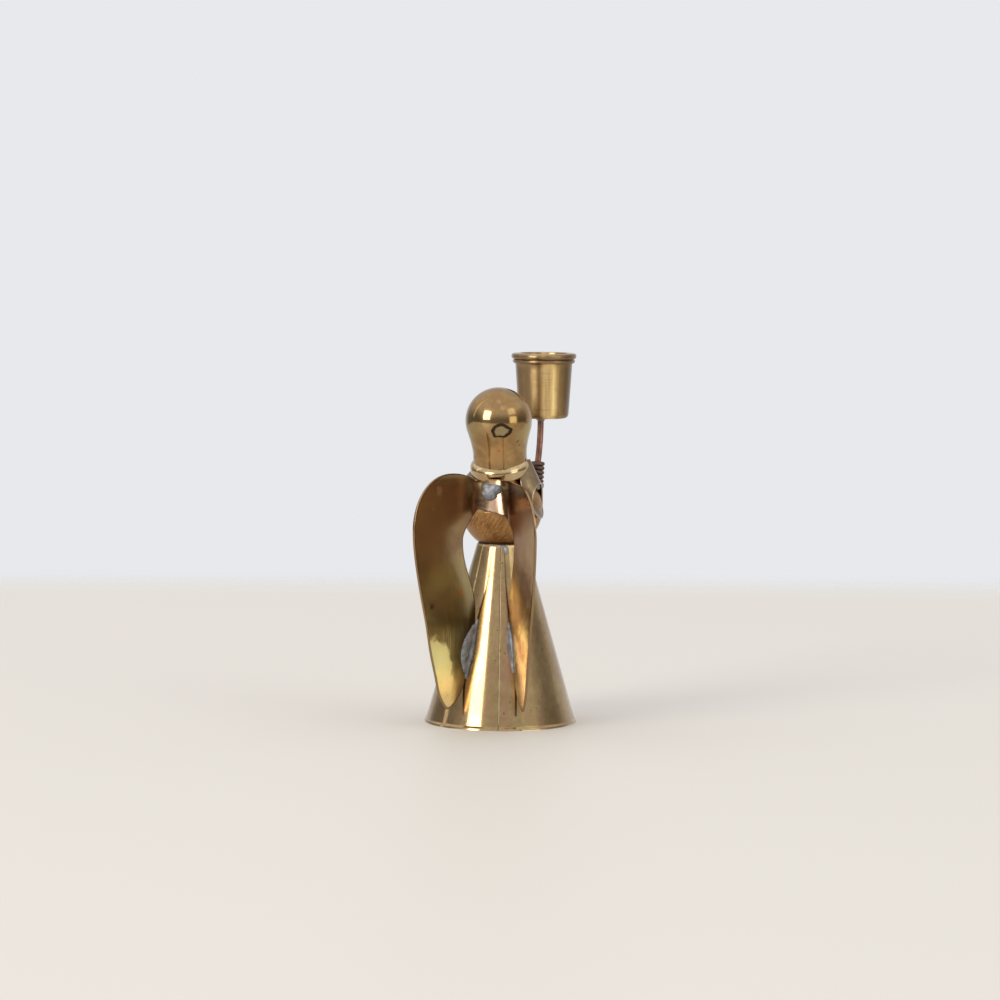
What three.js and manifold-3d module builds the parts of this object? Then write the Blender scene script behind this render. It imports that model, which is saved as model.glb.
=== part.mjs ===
// Angel candle holder, made by hand from sheet brass, copper wire and soft solder.
// Millimetres, +Z up. The figure faces -Y, and its right hand is on the -X side.

import * as THREE from 'three';
import { mergeVertices } from 'three/addons/utils/BufferGeometryUtils.js';
import Module from 'manifold-3d';

const wasm = await Module();
wasm.setup();

// Sheet thickness, and the room between pieces that are soldered together
const SHEET = 0.6;
const GAP = 0.25;

// Skirt: a cone rolled from sheet, butted along a seam near the middle of the back
const SKIRT_HEIGHT = 54;
const SKIRT_BASE_RADIUS = 22.7;
const SKIRT_TOP_RADIUS = 7.4;
const SEAM_SLIT = 0.4;
const SEAM_TURN = 11;
const SEAM_BEAD_WIDTH = 2.6;
const SEAM_BEAD_DEPTH = 0.7;
const SEAM_BEAD_FOOT = 3;
const SEAM_BEAD_UNDER_RING = 1;

// Solder at the waist: a ring inside under the ball, and a drip outside beside the seam
const WAIST_RING_DEPTH = 3.2;
const WAIST_RING_HEIGHT = 2.1;
const WAIST_RING_RADIUS = 4.5;
const WAIST_DRIP_TURN = 22;
const WAIST_DRIP_BELOW = 1.6;
const WAIST_DRIP_SIZE = [1.2, 1.1, 1.9];

// Torso: a hollow ball of two spun halves that sits in the skirt's top
const TORSO_RADIUS = 12.2;
const TORSO_HALVES_GAP = 0.1;
const TORSO_VENT_RADIUS = 1.5;

// Collar and head, which lean together about the ball's centre
const HEAD_LEAN_BACK = 9;
const HEAD_LEAN_SIDE = 0.5;
const COLLAR_RADIUS = 8.8;
const COLLAR_SEAT_RADIUS = 6.6;
const COLLAR_HEIGHT = 4.2;
const COLLAR_BULGE_HEIGHT = 2.7;
const COLLAR_WALL = 0.45;
const NECK_PLAY = 0.3;
const NECK_INSERT = 1.5;
const HEAD_RADIUS = 10;
const HEAD_TAPER_START = 17;
const NECK_BLEND = 2.4;
const NECK_STRAIGHT = 2.13;
const SCAR_TURN = 16;
const SCAR_DROP = 6;
const SCAR_SIZE = [3.1, 0.95, 2.3];

// Wings: one sheet, folded at both ends of the strap that crosses the back of the ball
const WING_SHEET = 0.7;
const STRAP_WIDTH = 9.4;
const STRAP_ABOVE_TORSO = 3.6;
const STRAP_UP = 3;
const STRAP_DOWN_LEFT = 2.8;
const STRAP_DOWN_RIGHT = 4.8;
const WING_SWEEP = 61;
const WING_LEAN_LEFT = 0;
const WING_LEAN_RIGHT = 1.3;
const WING_CROWN_REACH = 12;
const WING_CROWN_RISE = 8.4;
const WING_REACH = 27.9;
const WING_WIDEST_DROP = 8;
const WING_HEEL_REACH = 16.6;
const WING_HEEL_RISE = 6.8;
const WING_TIP_REACH = 12.7;
const WING_TIP_HEIGHT = 6.1;
const WING_WAIST_OFF_SKIRT = 1.12;
const WING_WAIST_DROP = 34;
const WING_NOTCH_REACH = 6.6;
const WING_NOTCH_DROP = 11.8;

// How far each stretch of the wing's outline runs on before it bends
const WING_ROOT_PULL = 3;
const WING_CROWN_PULL = 6.5;
const WING_ROUND_PULL = 9.5;
const WING_EDGE_PULL = 12.5;
const WING_EDGE_SLANT = 2.9;
const WING_TIP_PULL = 3;
const WING_TIP_ROUND = 1.6;
const WING_BELLY_TUCK = 0.65;
const WING_BELLY_RISE = 2.5;
const WING_BELLY_PULL = 16.5;
const WING_INNER_PULL = 9;
const WING_NOTCH_PULL = 2.8;

// Solder that holds the wings: a blob on the strap, and a bead down each edge on the skirt
const BRIDGE_BLOB_SIZE = [3.3, 1.9, 2.9];
const BRIDGE_BLOB_SIDE = 0.4;
const BRIDGE_BLOB_RISE = 2.4;
const WING_BEAD_LOW = 17;
const WING_BEAD_HIGH = 31;
const WING_BEAD_RADIUS = 2;

// Sleeves: slanting cones that widen from the collar to a round mouth facing sideways
const SLEEVE_WALL = 0.45;
const SLEEVE_MOUTH_RADIUS = 5.3;
const SLEEVE_MOUTH_OUT = 0.1;
const SLEEVE_MOUTH_BACK = 2;
const SLEEVE_MOUTH_RISE = 2.6;
const SLEEVE_MOUTH_TURN = 5;
const SLEEVE_TOP_RADIUS = 1.5;
const SLEEVE_TOP_BACK = 1;
const SLEEVE_TOP_UNDER_COLLAR = 0.4;
const SLEEVE_TOP_DROP = 1;
const SHOULDER_SOLDER_RADIUS = 1.8;
const SHOULDER_SOLDER_ABOVE_ARM = 1.5;
const SHOULDER_SOLDER_LIFT = 0.9;

// Stem and the arm wire that is wound round it as a pair of hands
const STEM_RADIUS = 0.95;
const STEM_LEAN = 3.3;
const STEM_FREE_LENGTH = 13.85;
const STEM_TAIL = 1.2;
const HAND_REACH = 22;
const HAND_SIDE = 6.3;
const HAND_ABOVE_TORSO = 12.4;
const ARM_WIRE_RADIUS = 0.55;
const ARM_INSET = 1.2;
const ARM_END_BACK = 1.5;
const ARM_STRAIGHT = 2.2;
const ARM_HOLE_CLEARANCE = 0.3;
const ARM_HOLE_DEPTH = 2;
const ARM_SOLDER_RADIUS = 1.4;
const ARM_SOLDER_HEIGHT = 1.1;
const WINDING_PITCH = 1.78;
const WINDING_PLAY = 0.2;
const WINDING_FULL_TURNS = 3;
const FOREARM_PULL = 6;
const WRIST_PULL = 7;
const STEPS_PER_LOOP = 24;
const STEPS_PER_FOREARM = 16;
const STEPS_PER_STRAIGHT = 2;
const WIRE_SIDES = 6;

// Candle cup: turned from bar, with a beaded rim and a tapered bore
const CUP_OFF_STEM = 0.85;
const CUP_HEIGHT = 19.9;
const CUP_FOOT_RADIUS = 7.7;
const CUP_BODY_RADIUS = 8.7;
const CUP_FOOT_FILLET = 1.4;
const CUP_FLOOR = 1.2;
const CUP_BORE_FLOOR_RADIUS = 6.4;
const CUP_BORE_MOUTH_RADIUS = 7.2;
const RIM_RADIUS = 9.95;
const RIM_BEAD_HEIGHT = 1.8;
const RIM_STEP_RADIUS = 9.55;
const RIM_STEP_HEIGHT = 1.2;
const RIM_ROUND = 0.5;
const CUP_SOLDER_RADIUS = 1.9;
const CUP_SOLDER_HEIGHT = 1.1;

// Facets
const SKIRT_SEGMENTS = 72;
const ROUND_SEGMENTS = 36;
const SLEEVE_SEGMENTS = 32;
const SMALL_SEGMENTS = 20;
const BLOB_BANDS = 12;
const STEM_SEGMENTS = 14;
const BALL_STEPS = 24;
const WING_CURVE_STEPS = 9;

// Room that a cutter has beyond the piece it cuts
const CUT_PAST = 1;

const rad = THREE.MathUtils.degToRad;
const UP = new THREE.Vector3(0, 0, 1);
const FORWARD = new THREE.Vector3(0, -1, 0);

// Solids for cutting and joining

function solidOf(geometry) {
  const bare = geometry.clone();
  bare.deleteAttribute('normal');
  bare.deleteAttribute('uv');
  const welded = mergeVertices(bare, 1e-4);
  const corners = welded.index.array;
  const kept = [];
  for (let i = 0; i < corners.length; i += 3) {
    const [a, b, c] = corners.slice(i, i + 3);
    if (a !== b && b !== c && c !== a) kept.push(a, b, c);
  }
  const vertProperties = new Float32Array(welded.attributes.position.array);
  return new wasm.Manifold(new wasm.Mesh({ numProp: 3, vertProperties, triVerts: new Uint32Array(kept) }));
}

function geometryOf(solid) {
  const mesh = solid.getMesh();
  const geometry = new THREE.BufferGeometry();
  geometry.setAttribute('position', new THREE.BufferAttribute(new Float32Array(mesh.vertProperties), 3));
  geometry.setIndex(new THREE.BufferAttribute(new Uint32Array(mesh.triVerts), 1));
  return geometry;
}

function cut(geometry, ...cutters) {
  return geometryOf(cutters.reduce((left, cutter) => left.subtract(cutter), solidOf(geometry)));
}

// Shapes that several pieces use

function turned(profile, segments = ROUND_SEGMENTS) {
  const points = profile.map(([r, z]) => new THREE.Vector2(r, z));
  return new THREE.LatheGeometry(points, segments).rotateX(Math.PI / 2);
}

function arc(radius, from, to, steps) {
  const points = [];
  for (let i = 0; i <= steps; i += 1) {
    const angle = rad(from + ((to - from) * i) / steps);
    points.push([radius * Math.cos(angle), radius * Math.sin(angle)]);
  }
  return points;
}

function moved(points, dr, dz) {
  return points.map(([r, z]) => [r + dr, z + dz]);
}

function closed(points) {
  return [...points, points[0]];
}

function blob([x, y, z]) {
  return new THREE.SphereGeometry(1, SMALL_SEGMENTS, BLOB_BANDS).scale(x, y, z);
}

function pointedAlong(geometry, from, direction) {
  const turn = new THREE.Quaternion().setFromUnitVectors(UP, direction);
  return geometry.applyQuaternion(turn).translate(from.x, from.y, from.z);
}

// Places that follow from the driving sizes

const skirtSlope = Math.atan2(SKIRT_BASE_RADIUS - SKIRT_TOP_RADIUS, SKIRT_HEIGHT);
const skirtWall = SHEET / Math.cos(skirtSlope);
const skirtGap = GAP / Math.cos(skirtSlope);
const skirtRadius = (z) => SKIRT_BASE_RADIUS - z * Math.tan(skirtSlope);
const torsoSeat = SKIRT_TOP_RADIUS - skirtWall;
const torsoCentre = new THREE.Vector3(
  0,
  0,
  SKIRT_HEIGHT + Math.sqrt((TORSO_RADIUS + GAP) ** 2 - torsoSeat ** 2),
);
const collarFoot = Math.sqrt((TORSO_RADIUS + GAP) ** 2 - COLLAR_SEAT_RADIUS ** 2);
const collarTop = collarFoot + COLLAR_HEIGHT;
const neckRadius = COLLAR_RADIUS - COLLAR_WALL - NECK_PLAY;
const headTaper = rad(HEAD_TAPER_START);
const headWidening = (HEAD_RADIUS * Math.cos(headTaper) - neckRadius) / Math.tan(headTaper);
const neckTop = collarTop + NECK_STRAIGHT + NECK_BLEND;
const headCentre = neckTop + headWidening + HEAD_RADIUS * Math.sin(headTaper);
const strapHeight = torsoCentre.z + STRAP_ABOVE_TORSO;
const strapMiddle = TORSO_RADIUS + GAP + WING_SHEET / 2;

// Skirt and its seam

function skirtCone(grow, low, high) {
  return solidOf(turned([
    [0, low],
    [skirtRadius(low) + grow, low],
    [skirtRadius(high) + grow, high],
    [0, high],
  ], SKIRT_SEGMENTS));
}

function skirt() {
  const wall = turned(closed([
    [SKIRT_BASE_RADIUS - skirtWall, 0],
    [SKIRT_BASE_RADIUS, 0],
    [SKIRT_TOP_RADIUS, SKIRT_HEIGHT],
    [SKIRT_TOP_RADIUS - skirtWall, SKIRT_HEIGHT],
  ]), SKIRT_SEGMENTS);
  const reach = SKIRT_BASE_RADIUS + CUT_PAST;
  const slit = new THREE.BoxGeometry(SEAM_SLIT, reach, SKIRT_HEIGHT + 2 * CUT_PAST);
  slit.translate(0, reach / 2, SKIRT_HEIGHT / 2).rotateZ(rad(SEAM_TURN));
  return cut(wall, solidOf(slit));
}

function seamBead() {
  const section = new THREE.Shape();
  section.moveTo(-SEAM_BEAD_WIDTH / 2, 0);
  section.quadraticCurveTo(0, -2 * SEAM_BEAD_DEPTH, SEAM_BEAD_WIDTH / 2, 0);
  section.closePath();
  const top = SKIRT_HEIGHT - WAIST_RING_DEPTH - SEAM_BEAD_UNDER_RING;
  const depth = (top - SEAM_BEAD_FOOT) / Math.cos(skirtSlope);
  const bead = new THREE.ExtrudeGeometry(section, { depth, bevelEnabled: false, curveSegments: 8 });
  const inside = skirtRadius(SEAM_BEAD_FOOT) - skirtWall - skirtGap;
  return bead.rotateX(skirtSlope).translate(0, inside, SEAM_BEAD_FOOT).rotateZ(rad(SEAM_TURN));
}

// Solder at the waist

function waistRing() {
  const wall = (z) => skirtRadius(z) - skirtWall - skirtGap;
  const low = SKIRT_HEIGHT - WAIST_RING_DEPTH;
  const high = low + WAIST_RING_HEIGHT;
  const underBall = torsoCentre.z - Math.sqrt((TORSO_RADIUS + GAP) ** 2 - WAIST_RING_RADIUS ** 2);
  return turned(closed([
    [WAIST_RING_RADIUS, underBall],
    [wall(low), low],
    [wall(high), high],
  ]));
}

function waistDrip() {
  const z = SKIRT_HEIGHT - WAIST_DRIP_BELOW;
  const drip = blob(WAIST_DRIP_SIZE).translate(0, skirtRadius(z), z).rotateZ(rad(WAIST_DRIP_TURN));
  return cut(drip, skirtCone(skirtGap, -CUT_PAST, SKIRT_HEIGHT + GAP), ballGrown(GAP));
}

// Torso halves

function torsoHalf(side) {
  const inner = TORSO_RADIUS - SHEET;
  const ventOuter = THREE.MathUtils.radToDeg(Math.acos(TORSO_VENT_RADIUS / TORSO_RADIUS));
  const ventInner = THREE.MathUtils.radToDeg(Math.acos(TORSO_VENT_RADIUS / inner));
  const upper = [...arc(TORSO_RADIUS, 0, ventOuter, 8), ...arc(inner, ventInner, 0, 6)];
  const lower = [...arc(TORSO_RADIUS, -ventOuter, 0, 8), ...arc(inner, 0, -ventInner, 6)];
  return turned(closed(moved(side > 0 ? upper : lower, 0, (side * TORSO_HALVES_GAP) / 2)));
}

function ballGrown(grow) {
  const ball = turned(arc(TORSO_RADIUS + grow, -90, 90, BALL_STEPS), 2 * BALL_STEPS);
  return solidOf(ball.translate(0, 0, torsoCentre.z));
}

// Collar and head, in the frame of the ball's centre and the leaning neck

const headLean = new THREE.Euler(-rad(HEAD_LEAN_BACK), rad(HEAD_LEAN_SIDE), 0);
const headPlace = new THREE.Matrix4().makeRotationFromEuler(headLean).setPosition(torsoCentre);

function collarSide(inset, steps) {
  const bulge = COLLAR_RADIUS - COLLAR_SEAT_RADIUS;
  const side = arc(1, -90, 0, steps).map(([r, z]) => [
    COLLAR_SEAT_RADIUS + r * (bulge - inset),
    collarFoot + inset + (1 + z) * (COLLAR_BULGE_HEIGHT - inset),
  ]);
  return [...side, [COLLAR_RADIUS - inset, collarTop]];
}

function collar() {
  return turned(closed([...collarSide(0, 5), ...collarSide(COLLAR_WALL, 5).reverse()]));
}

function collarGrown(grow) {
  const top = collarTop + NECK_INSERT;
  const profile = [[0, collarFoot - grow], ...collarSide(-grow, 5), [COLLAR_RADIUS + grow, top], [0, top]];
  return solidOf(turned(profile).applyMatrix4(headPlace));
}

function headProfile(radius, neck, foot, steps) {
  const shoulder = radius * Math.cos(headTaper);
  const shoulderHeight = headCentre - radius * Math.sin(headTaper);
  const bend = shoulderHeight - (shoulder - neck) / Math.tan(headTaper);
  const curve = new THREE.QuadraticBezierCurve(
    new THREE.Vector2(neck, bend - NECK_BLEND),
    new THREE.Vector2(neck, bend),
    new THREE.Vector2(shoulder, shoulderHeight),
  );
  const blend = curve.getPoints(steps / 2).map((p) => [p.x, p.y]);
  const round = moved(arc(radius, -HEAD_TAPER_START, 90, steps), 0, headCentre).slice(1);
  return [[neck, foot], ...blend, ...round];
}

function head() {
  const foot = collarTop - NECK_INSERT;
  const outer = headProfile(HEAD_RADIUS, neckRadius, foot, 8);
  const inner = headProfile(HEAD_RADIUS - SHEET, neckRadius - SHEET, foot, 6).reverse();
  return turned([...inner, ...outer]);
}

function headScar() {
  const scar = blob(SCAR_SIZE).translate(0, HEAD_RADIUS, 0);
  scar.rotateX(-rad(SCAR_DROP)).rotateZ(rad(SCAR_TURN)).translate(0, 0, headCentre);
  const round = turned(arc(HEAD_RADIUS + GAP, -90, 90, BALL_STEPS), 2 * BALL_STEPS);
  return cut(scar, solidOf(round.translate(0, 0, headCentre)));
}

// Wings: the blade outline is drawn from the fold, u outwards and v above the strap's middle

const wingDrop = strapHeight - WING_TIP_HEIGHT;
const wingSides = {
  left: { side: 1, lean: WING_LEAN_LEFT, rootDown: STRAP_DOWN_LEFT },
  right: { side: -1, lean: WING_LEAN_RIGHT, rootDown: STRAP_DOWN_RIGHT },
};

function skirtReach(z) {
  const sweep = rad(WING_SWEEP);
  const along = (STRAP_WIDTH / 2) * Math.cos(sweep) + strapMiddle * Math.sin(sweep);
  const away = (STRAP_WIDTH / 2) ** 2 + strapMiddle ** 2 - (skirtRadius(z) + skirtGap) ** 2;
  return Math.sqrt(along ** 2 - away) - along;
}

function bladeOutline(rootDown) {
  const tip = -wingDrop;
  const heel = tip + WING_HEEL_RISE;
  const waistReach = skirtReach(strapHeight - WING_WAIST_DROP) + WING_WAIST_OFF_SKIRT;
  const bellyReach = skirtReach(WING_TIP_HEIGHT) - WING_BELLY_TUCK;
  const outline = new THREE.Shape();
  outline.moveTo(0, STRAP_UP);
  // Up over the crown to the widest place
  outline.bezierCurveTo(
    WING_ROOT_PULL / 2, STRAP_UP + WING_ROOT_PULL,
    WING_CROWN_REACH - WING_CROWN_PULL, WING_CROWN_RISE,
    WING_CROWN_REACH, WING_CROWN_RISE,
  );
  outline.bezierCurveTo(
    WING_CROWN_REACH + WING_ROUND_PULL, WING_CROWN_RISE,
    WING_REACH, WING_ROUND_PULL - WING_WIDEST_DROP,
    WING_REACH, -WING_WIDEST_DROP,
  );
  // Down the outer edge to the heel and the tip
  outline.bezierCurveTo(
    WING_REACH, -WING_WIDEST_DROP - WING_EDGE_PULL,
    WING_HEEL_REACH + WING_EDGE_SLANT, heel + WING_EDGE_PULL,
    WING_HEEL_REACH, heel,
  );
  outline.bezierCurveTo(
    WING_HEEL_REACH - WING_EDGE_SLANT / 4, heel - WING_TIP_PULL,
    WING_TIP_REACH + WING_TIP_ROUND, tip + WING_TIP_ROUND,
    WING_TIP_REACH, tip,
  );
  // Up the inner edge along the skirt, round the notch and back to the strap
  outline.bezierCurveTo(
    bellyReach, tip + WING_BELLY_RISE,
    waistReach, -WING_WAIST_DROP - WING_BELLY_PULL,
    waistReach, -WING_WAIST_DROP,
  );
  outline.bezierCurveTo(
    waistReach, -WING_WAIST_DROP + WING_INNER_PULL,
    WING_NOTCH_REACH, -WING_NOTCH_DROP - WING_INNER_PULL,
    WING_NOTCH_REACH, -WING_NOTCH_DROP,
  );
  outline.bezierCurveTo(
    WING_NOTCH_REACH, -WING_NOTCH_DROP + WING_NOTCH_PULL,
    WING_ROOT_PULL, -rootDown - WING_ROOT_PULL,
    0, -rootDown,
  );
  return outline;
}

function bladePlace({ side, lean }) {
  const turn = side > 0 ? rad(WING_SWEEP) : Math.PI - rad(WING_SWEEP);
  const tilt = new THREE.Matrix4().makeRotationX(rad(lean));
  const place = new THREE.Matrix4().makeRotationZ(turn).multiply(tilt);
  return place.setPosition((side * STRAP_WIDTH) / 2, strapMiddle, strapHeight);
}

function uprightPlate(outline, curveSegments) {
  const plate = new THREE.ExtrudeGeometry(outline, { depth: WING_SHEET, bevelEnabled: false, curveSegments });
  return plate.rotateX(Math.PI / 2).translate(0, WING_SHEET / 2, 0);
}

function wings() {
  const strap = new THREE.Shape();
  strap.moveTo(-STRAP_WIDTH / 2, -STRAP_DOWN_RIGHT);
  strap.lineTo(STRAP_WIDTH / 2, -STRAP_DOWN_LEFT);
  strap.lineTo(STRAP_WIDTH / 2, STRAP_UP);
  strap.lineTo(-STRAP_WIDTH / 2, STRAP_UP);
  let sheet = solidOf(uprightPlate(strap, 1).translate(0, strapMiddle, strapHeight));
  for (const wing of Object.values(wingSides)) {
    const blade = uprightPlate(bladeOutline(wing.rootDown), WING_CURVE_STEPS).applyMatrix4(bladePlace(wing));
    const length = STRAP_UP + wing.rootDown;
    const fold = new THREE.CylinderGeometry(WING_SHEET / 2, WING_SHEET / 2, length, SMALL_SEGMENTS);
    fold.rotateX(Math.PI / 2).translate(0, 0, (STRAP_UP - wing.rootDown) / 2);
    fold.translate((wing.side * STRAP_WIDTH) / 2, strapMiddle, strapHeight);
    sheet = sheet.add(solidOf(blade)).add(solidOf(fold));
  }
  return geometryOf(sheet.subtract(skirtCone(skirtGap, -CUT_PAST, SKIRT_HEIGHT)));
}

// Solder on the wings

function strapGrown(grow) {
  const tall = STRAP_UP + STRAP_DOWN_RIGHT;
  const box = new THREE.BoxGeometry(STRAP_WIDTH + 2 * CUT_PAST, WING_SHEET + 2 * grow, tall + grow);
  return solidOf(box.translate(0, strapMiddle, strapHeight + STRAP_UP + grow - (tall + grow) / 2));
}

function bridgeBlob() {
  const solder = blob(BRIDGE_BLOB_SIZE);
  solder.translate(BRIDGE_BLOB_SIDE, strapMiddle, strapHeight + BRIDGE_BLOB_RISE);
  return cut(solder, ballGrown(GAP), strapGrown(GAP), collarGrown(GAP));
}

function bladeContact(wing, z) {
  const place = bladePlace(wing);
  const root = new THREE.Vector3().setFromMatrixPosition(place);
  const out = new THREE.Vector3(1, 0, 0).transformDirection(place);
  root.addScaledVector(new THREE.Vector3(0, 0, 1).transformDirection(place), z - root.z);
  const along = root.x * out.x + root.y * out.y;
  const away = root.x ** 2 + root.y ** 2 - (skirtRadius(z) + skirtGap) ** 2;
  return root.addScaledVector(out, Math.sqrt(along ** 2 - away) - along);
}

function wingBead(wing) {
  const low = bladeContact(wing, WING_BEAD_LOW);
  const high = bladeContact(wing, WING_BEAD_HIGH);
  const axis = high.clone().sub(low);
  const inward = new THREE.Vector3(0, wing.side, 0).transformDirection(bladePlace(wing));
  const middle = low.clone().lerp(high, 0.5).addScaledVector(inward, WING_BEAD_RADIUS / 2);
  const bead = blob([WING_BEAD_RADIUS, WING_BEAD_RADIUS, axis.length() / 2]);
  pointedAlong(bead, middle, axis.normalize());
  const thick = SKIRT_BASE_RADIUS;
  const face = wing.side * (WING_SHEET / 2 + GAP - thick / 2);
  const behind = new THREE.BoxGeometry(4 * WING_REACH, thick, 4 * wingDrop).translate(0, face, 0);
  behind.applyMatrix4(bladePlace(wing));
  return cut(bead, skirtCone(skirtGap, -CUT_PAST, SKIRT_HEIGHT), solidOf(behind));
}

// Sleeves, in round sections that stay upright from the collar to the mouth

const sleeveTopReach = COLLAR_RADIUS - SLEEVE_TOP_UNDER_COLLAR;
const sleeveMouthReach = TORSO_RADIUS + SLEEVE_MOUTH_OUT;
const sleeveTop = new THREE.Vector3(
  sleeveTopReach,
  SLEEVE_TOP_BACK,
  torsoCentre.z + collarTop - SLEEVE_TOP_DROP,
);
const sleeveMouth = new THREE.Vector3(
  sleeveMouthReach,
  SLEEVE_MOUTH_BACK,
  torsoCentre.z + SLEEVE_MOUTH_RISE,
);
const sleeveSteepness = Math.atan2(sleeveTop.z - sleeveMouth.z, sleeveMouthReach - sleeveTopReach);
const sleeveFlatness = 1 - SLEEVE_WALL / Math.cos(sleeveSteepness) / SLEEVE_MOUTH_RADIUS / 2;

function mirrored(point, side) {
  return new THREE.Vector3(side * point.x, point.y, point.z);
}

function sleeveCone(side, inset, flatness) {
  const [top, mouth] = [mirrored(sleeveTop, side), mirrored(sleeveMouth, side)];
  const past = inset > 0 ? 1 + inset : 1;
  const topRadius = Math.max(SLEEVE_TOP_RADIUS - inset, GAP);
  const pastRadius = topRadius + (SLEEVE_MOUTH_RADIUS - inset - topRadius) * past;
  const cone = turned([[0, 0], [topRadius, 0], [pastRadius, past], [0, past]], SLEEVE_SEGMENTS);
  const turn = rad(SLEEVE_MOUTH_TURN);
  const across = new THREE.Vector3(-side * Math.sin(turn), Math.cos(turn), 0);
  const upward = UP.clone().multiplyScalar(flatness);
  const slant = mouth.sub(top);
  const place = new THREE.Matrix4();
  if (side > 0) place.makeBasis(across, upward, slant);
  else place.makeBasis(upward, across, slant);
  return cone.applyMatrix4(place.setPosition(top));
}

function sleeve(side, armRoom) {
  const hollow = solidOf(sleeveCone(side, SLEEVE_WALL, sleeveFlatness));
  return cut(sleeveCone(side, 0, 1), hollow, ballGrown(GAP), collarGrown(GAP), armRoom);
}

function shoulderSolder(side, { end, wall }) {
  const room = solidOf(sleeveCone(side, SLEEVE_WALL + 2 * GAP, sleeveFlatness));
  const out = end.clone().addScaledVector(UP, SHOULDER_SOLDER_ABOVE_ARM).sub(torsoCentre);
  const place = out.setLength(TORSO_RADIUS + SHOULDER_SOLDER_LIFT).add(torsoCentre);
  const bead = blob([SHOULDER_SOLDER_RADIUS, SHOULDER_SOLDER_RADIUS, SHOULDER_SOLDER_RADIUS]);
  const inSleeve = solidOf(bead.translate(place.x, place.y, place.z)).intersect(room);
  const hole = ARM_WIRE_RADIUS + ARM_HOLE_CLEARANCE;
  const back = wall.y - end.y - ARM_HOLE_CLEARANCE;
  const socket = solidOf(alongArm({ end, wall }, [[0, back], [hole, back], [hole, 0], [0, 0]]));
  return geometryOf(inSleeve.subtract(ballGrown(GAP)).subtract(socket));
}

// Stem: its frame has the origin at the top of the winding and leans with the wire

const stemLean = new THREE.Euler(0, -rad(STEM_LEAN), 0);
const stemTop = new THREE.Vector3(-HAND_SIDE, -HAND_REACH, torsoCentre.z + HAND_ABOVE_TORSO);
const stemAxis = UP.clone().applyEuler(stemLean);
const windingRadius = STEM_RADIUS + WINDING_PLAY + ARM_WIRE_RADIUS;

// Arm wire: from one shoulder down its sleeve, round the stem and back up the other sleeve

class Winding extends THREE.Curve {
  constructor(from, to) {
    super();
    this.from = from;
    this.to = to;
  }

  getPoint(t, target = new THREE.Vector3()) {
    const angle = this.from + (this.to - this.from) * t;
    const sunk = (-WINDING_PITCH * (angle - this.from)) / (2 * Math.PI);
    target.set(windingRadius * Math.cos(angle), windingRadius * Math.sin(angle), sunk);
    return target.applyEuler(stemLean).add(stemTop);
  }
}

class Joined extends THREE.Curve {
  constructor(stretches) {
    super();
    this.stretches = stretches;
    this.steps = stretches.reduce((sum, { steps }) => sum + steps, 0);
  }

  getPoint(t, target = new THREE.Vector3()) {
    let run = t * this.steps;
    for (const { curve, steps } of this.stretches) {
      if (run <= steps) return curve.getPointAt(run / steps, target);
      run -= steps;
    }
    return this.stretches.at(-1).curve.getPointAt(1, target);
  }

  getPointAt(u, target) {
    return this.getPoint(u, target);
  }

  getTangentAt(u, target) {
    return this.getTangent(u, target);
  }
}

function windingAngle(heading) {
  return Math.atan2(-heading.x, heading.y);
}

function armEnd(side) {
  const reach = sleeveMouthReach - ARM_INSET;
  const rise = Math.sqrt((TORSO_RADIUS + GAP + ARM_WIRE_RADIUS) ** 2 - reach ** 2);
  const share = (reach - sleeveTopReach) / (sleeveMouthReach - sleeveTopReach);
  const middle = sleeveTop.clone().lerp(sleeveMouth, share);
  const radius = THREE.MathUtils.lerp(SLEEVE_TOP_RADIUS, SLEEVE_MOUTH_RADIUS, share);
  const front = middle.y - Math.sqrt(radius ** 2 - (torsoCentre.z + rise - middle.z) ** 2);
  const end = new THREE.Vector3(side * reach, ARM_END_BACK, torsoCentre.z + rise);
  const wall = new THREE.Vector3(end.x, front, end.z);
  return { end, wall, bend: wall.clone().addScaledVector(FORWARD, ARM_STRAIGHT) };
}

function forearmCurve({ bend }, wrist, heading) {
  return new THREE.CubicBezierCurve3(
    bend,
    bend.clone().addScaledVector(FORWARD, FOREARM_PULL),
    wrist.clone().addScaledVector(heading, -WRIST_PULL),
    wrist,
  );
}

function backwards({ v0, v1, v2, v3 }) {
  return new THREE.CubicBezierCurve3(v3, v2, v1, v0);
}

function armPath(left, right) {
  const start = windingAngle(stemTop.clone().sub(left.bend));
  const finish = windingAngle(right.bend.clone().sub(stemTop));
  const part = THREE.MathUtils.euclideanModulo(finish - start, 2 * Math.PI);
  const winding = new Winding(start, start + part + 2 * Math.PI * WINDING_FULL_TURNS);
  const turns = (winding.to - winding.from) / (2 * Math.PI);
  const leaving = winding.getTangent(1).negate();
  const path = new Joined([
    { curve: new THREE.LineCurve3(left.end, left.bend), steps: STEPS_PER_STRAIGHT },
    { curve: forearmCurve(left, winding.getPoint(0), winding.getTangent(0)), steps: STEPS_PER_FOREARM },
    { curve: winding, steps: Math.round(turns * STEPS_PER_LOOP) },
    { curve: backwards(forearmCurve(right, winding.getPoint(1), leaving)), steps: STEPS_PER_FOREARM },
    { curve: new THREE.LineCurve3(right.bend, right.end), steps: STEPS_PER_STRAIGHT },
  ]);
  return { path, windingHeight: turns * WINDING_PITCH };
}

function leastGapToItself(path, diameter) {
  const step = diameter / 5;
  const spaced = ({ curve }) => curve.getSpacedPoints(Math.ceil(curve.getLength() / step));
  const points = path.stretches.flatMap(spaced);
  const apart = Math.ceil((3 * diameter) / step);
  let least = Infinity;
  for (let i = 0; i < points.length; i += 1) {
    for (let j = i + apart; j < points.length; j += 1) {
      least = Math.min(least, points[i].distanceTo(points[j]) - diameter);
    }
  }
  return least;
}

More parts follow.
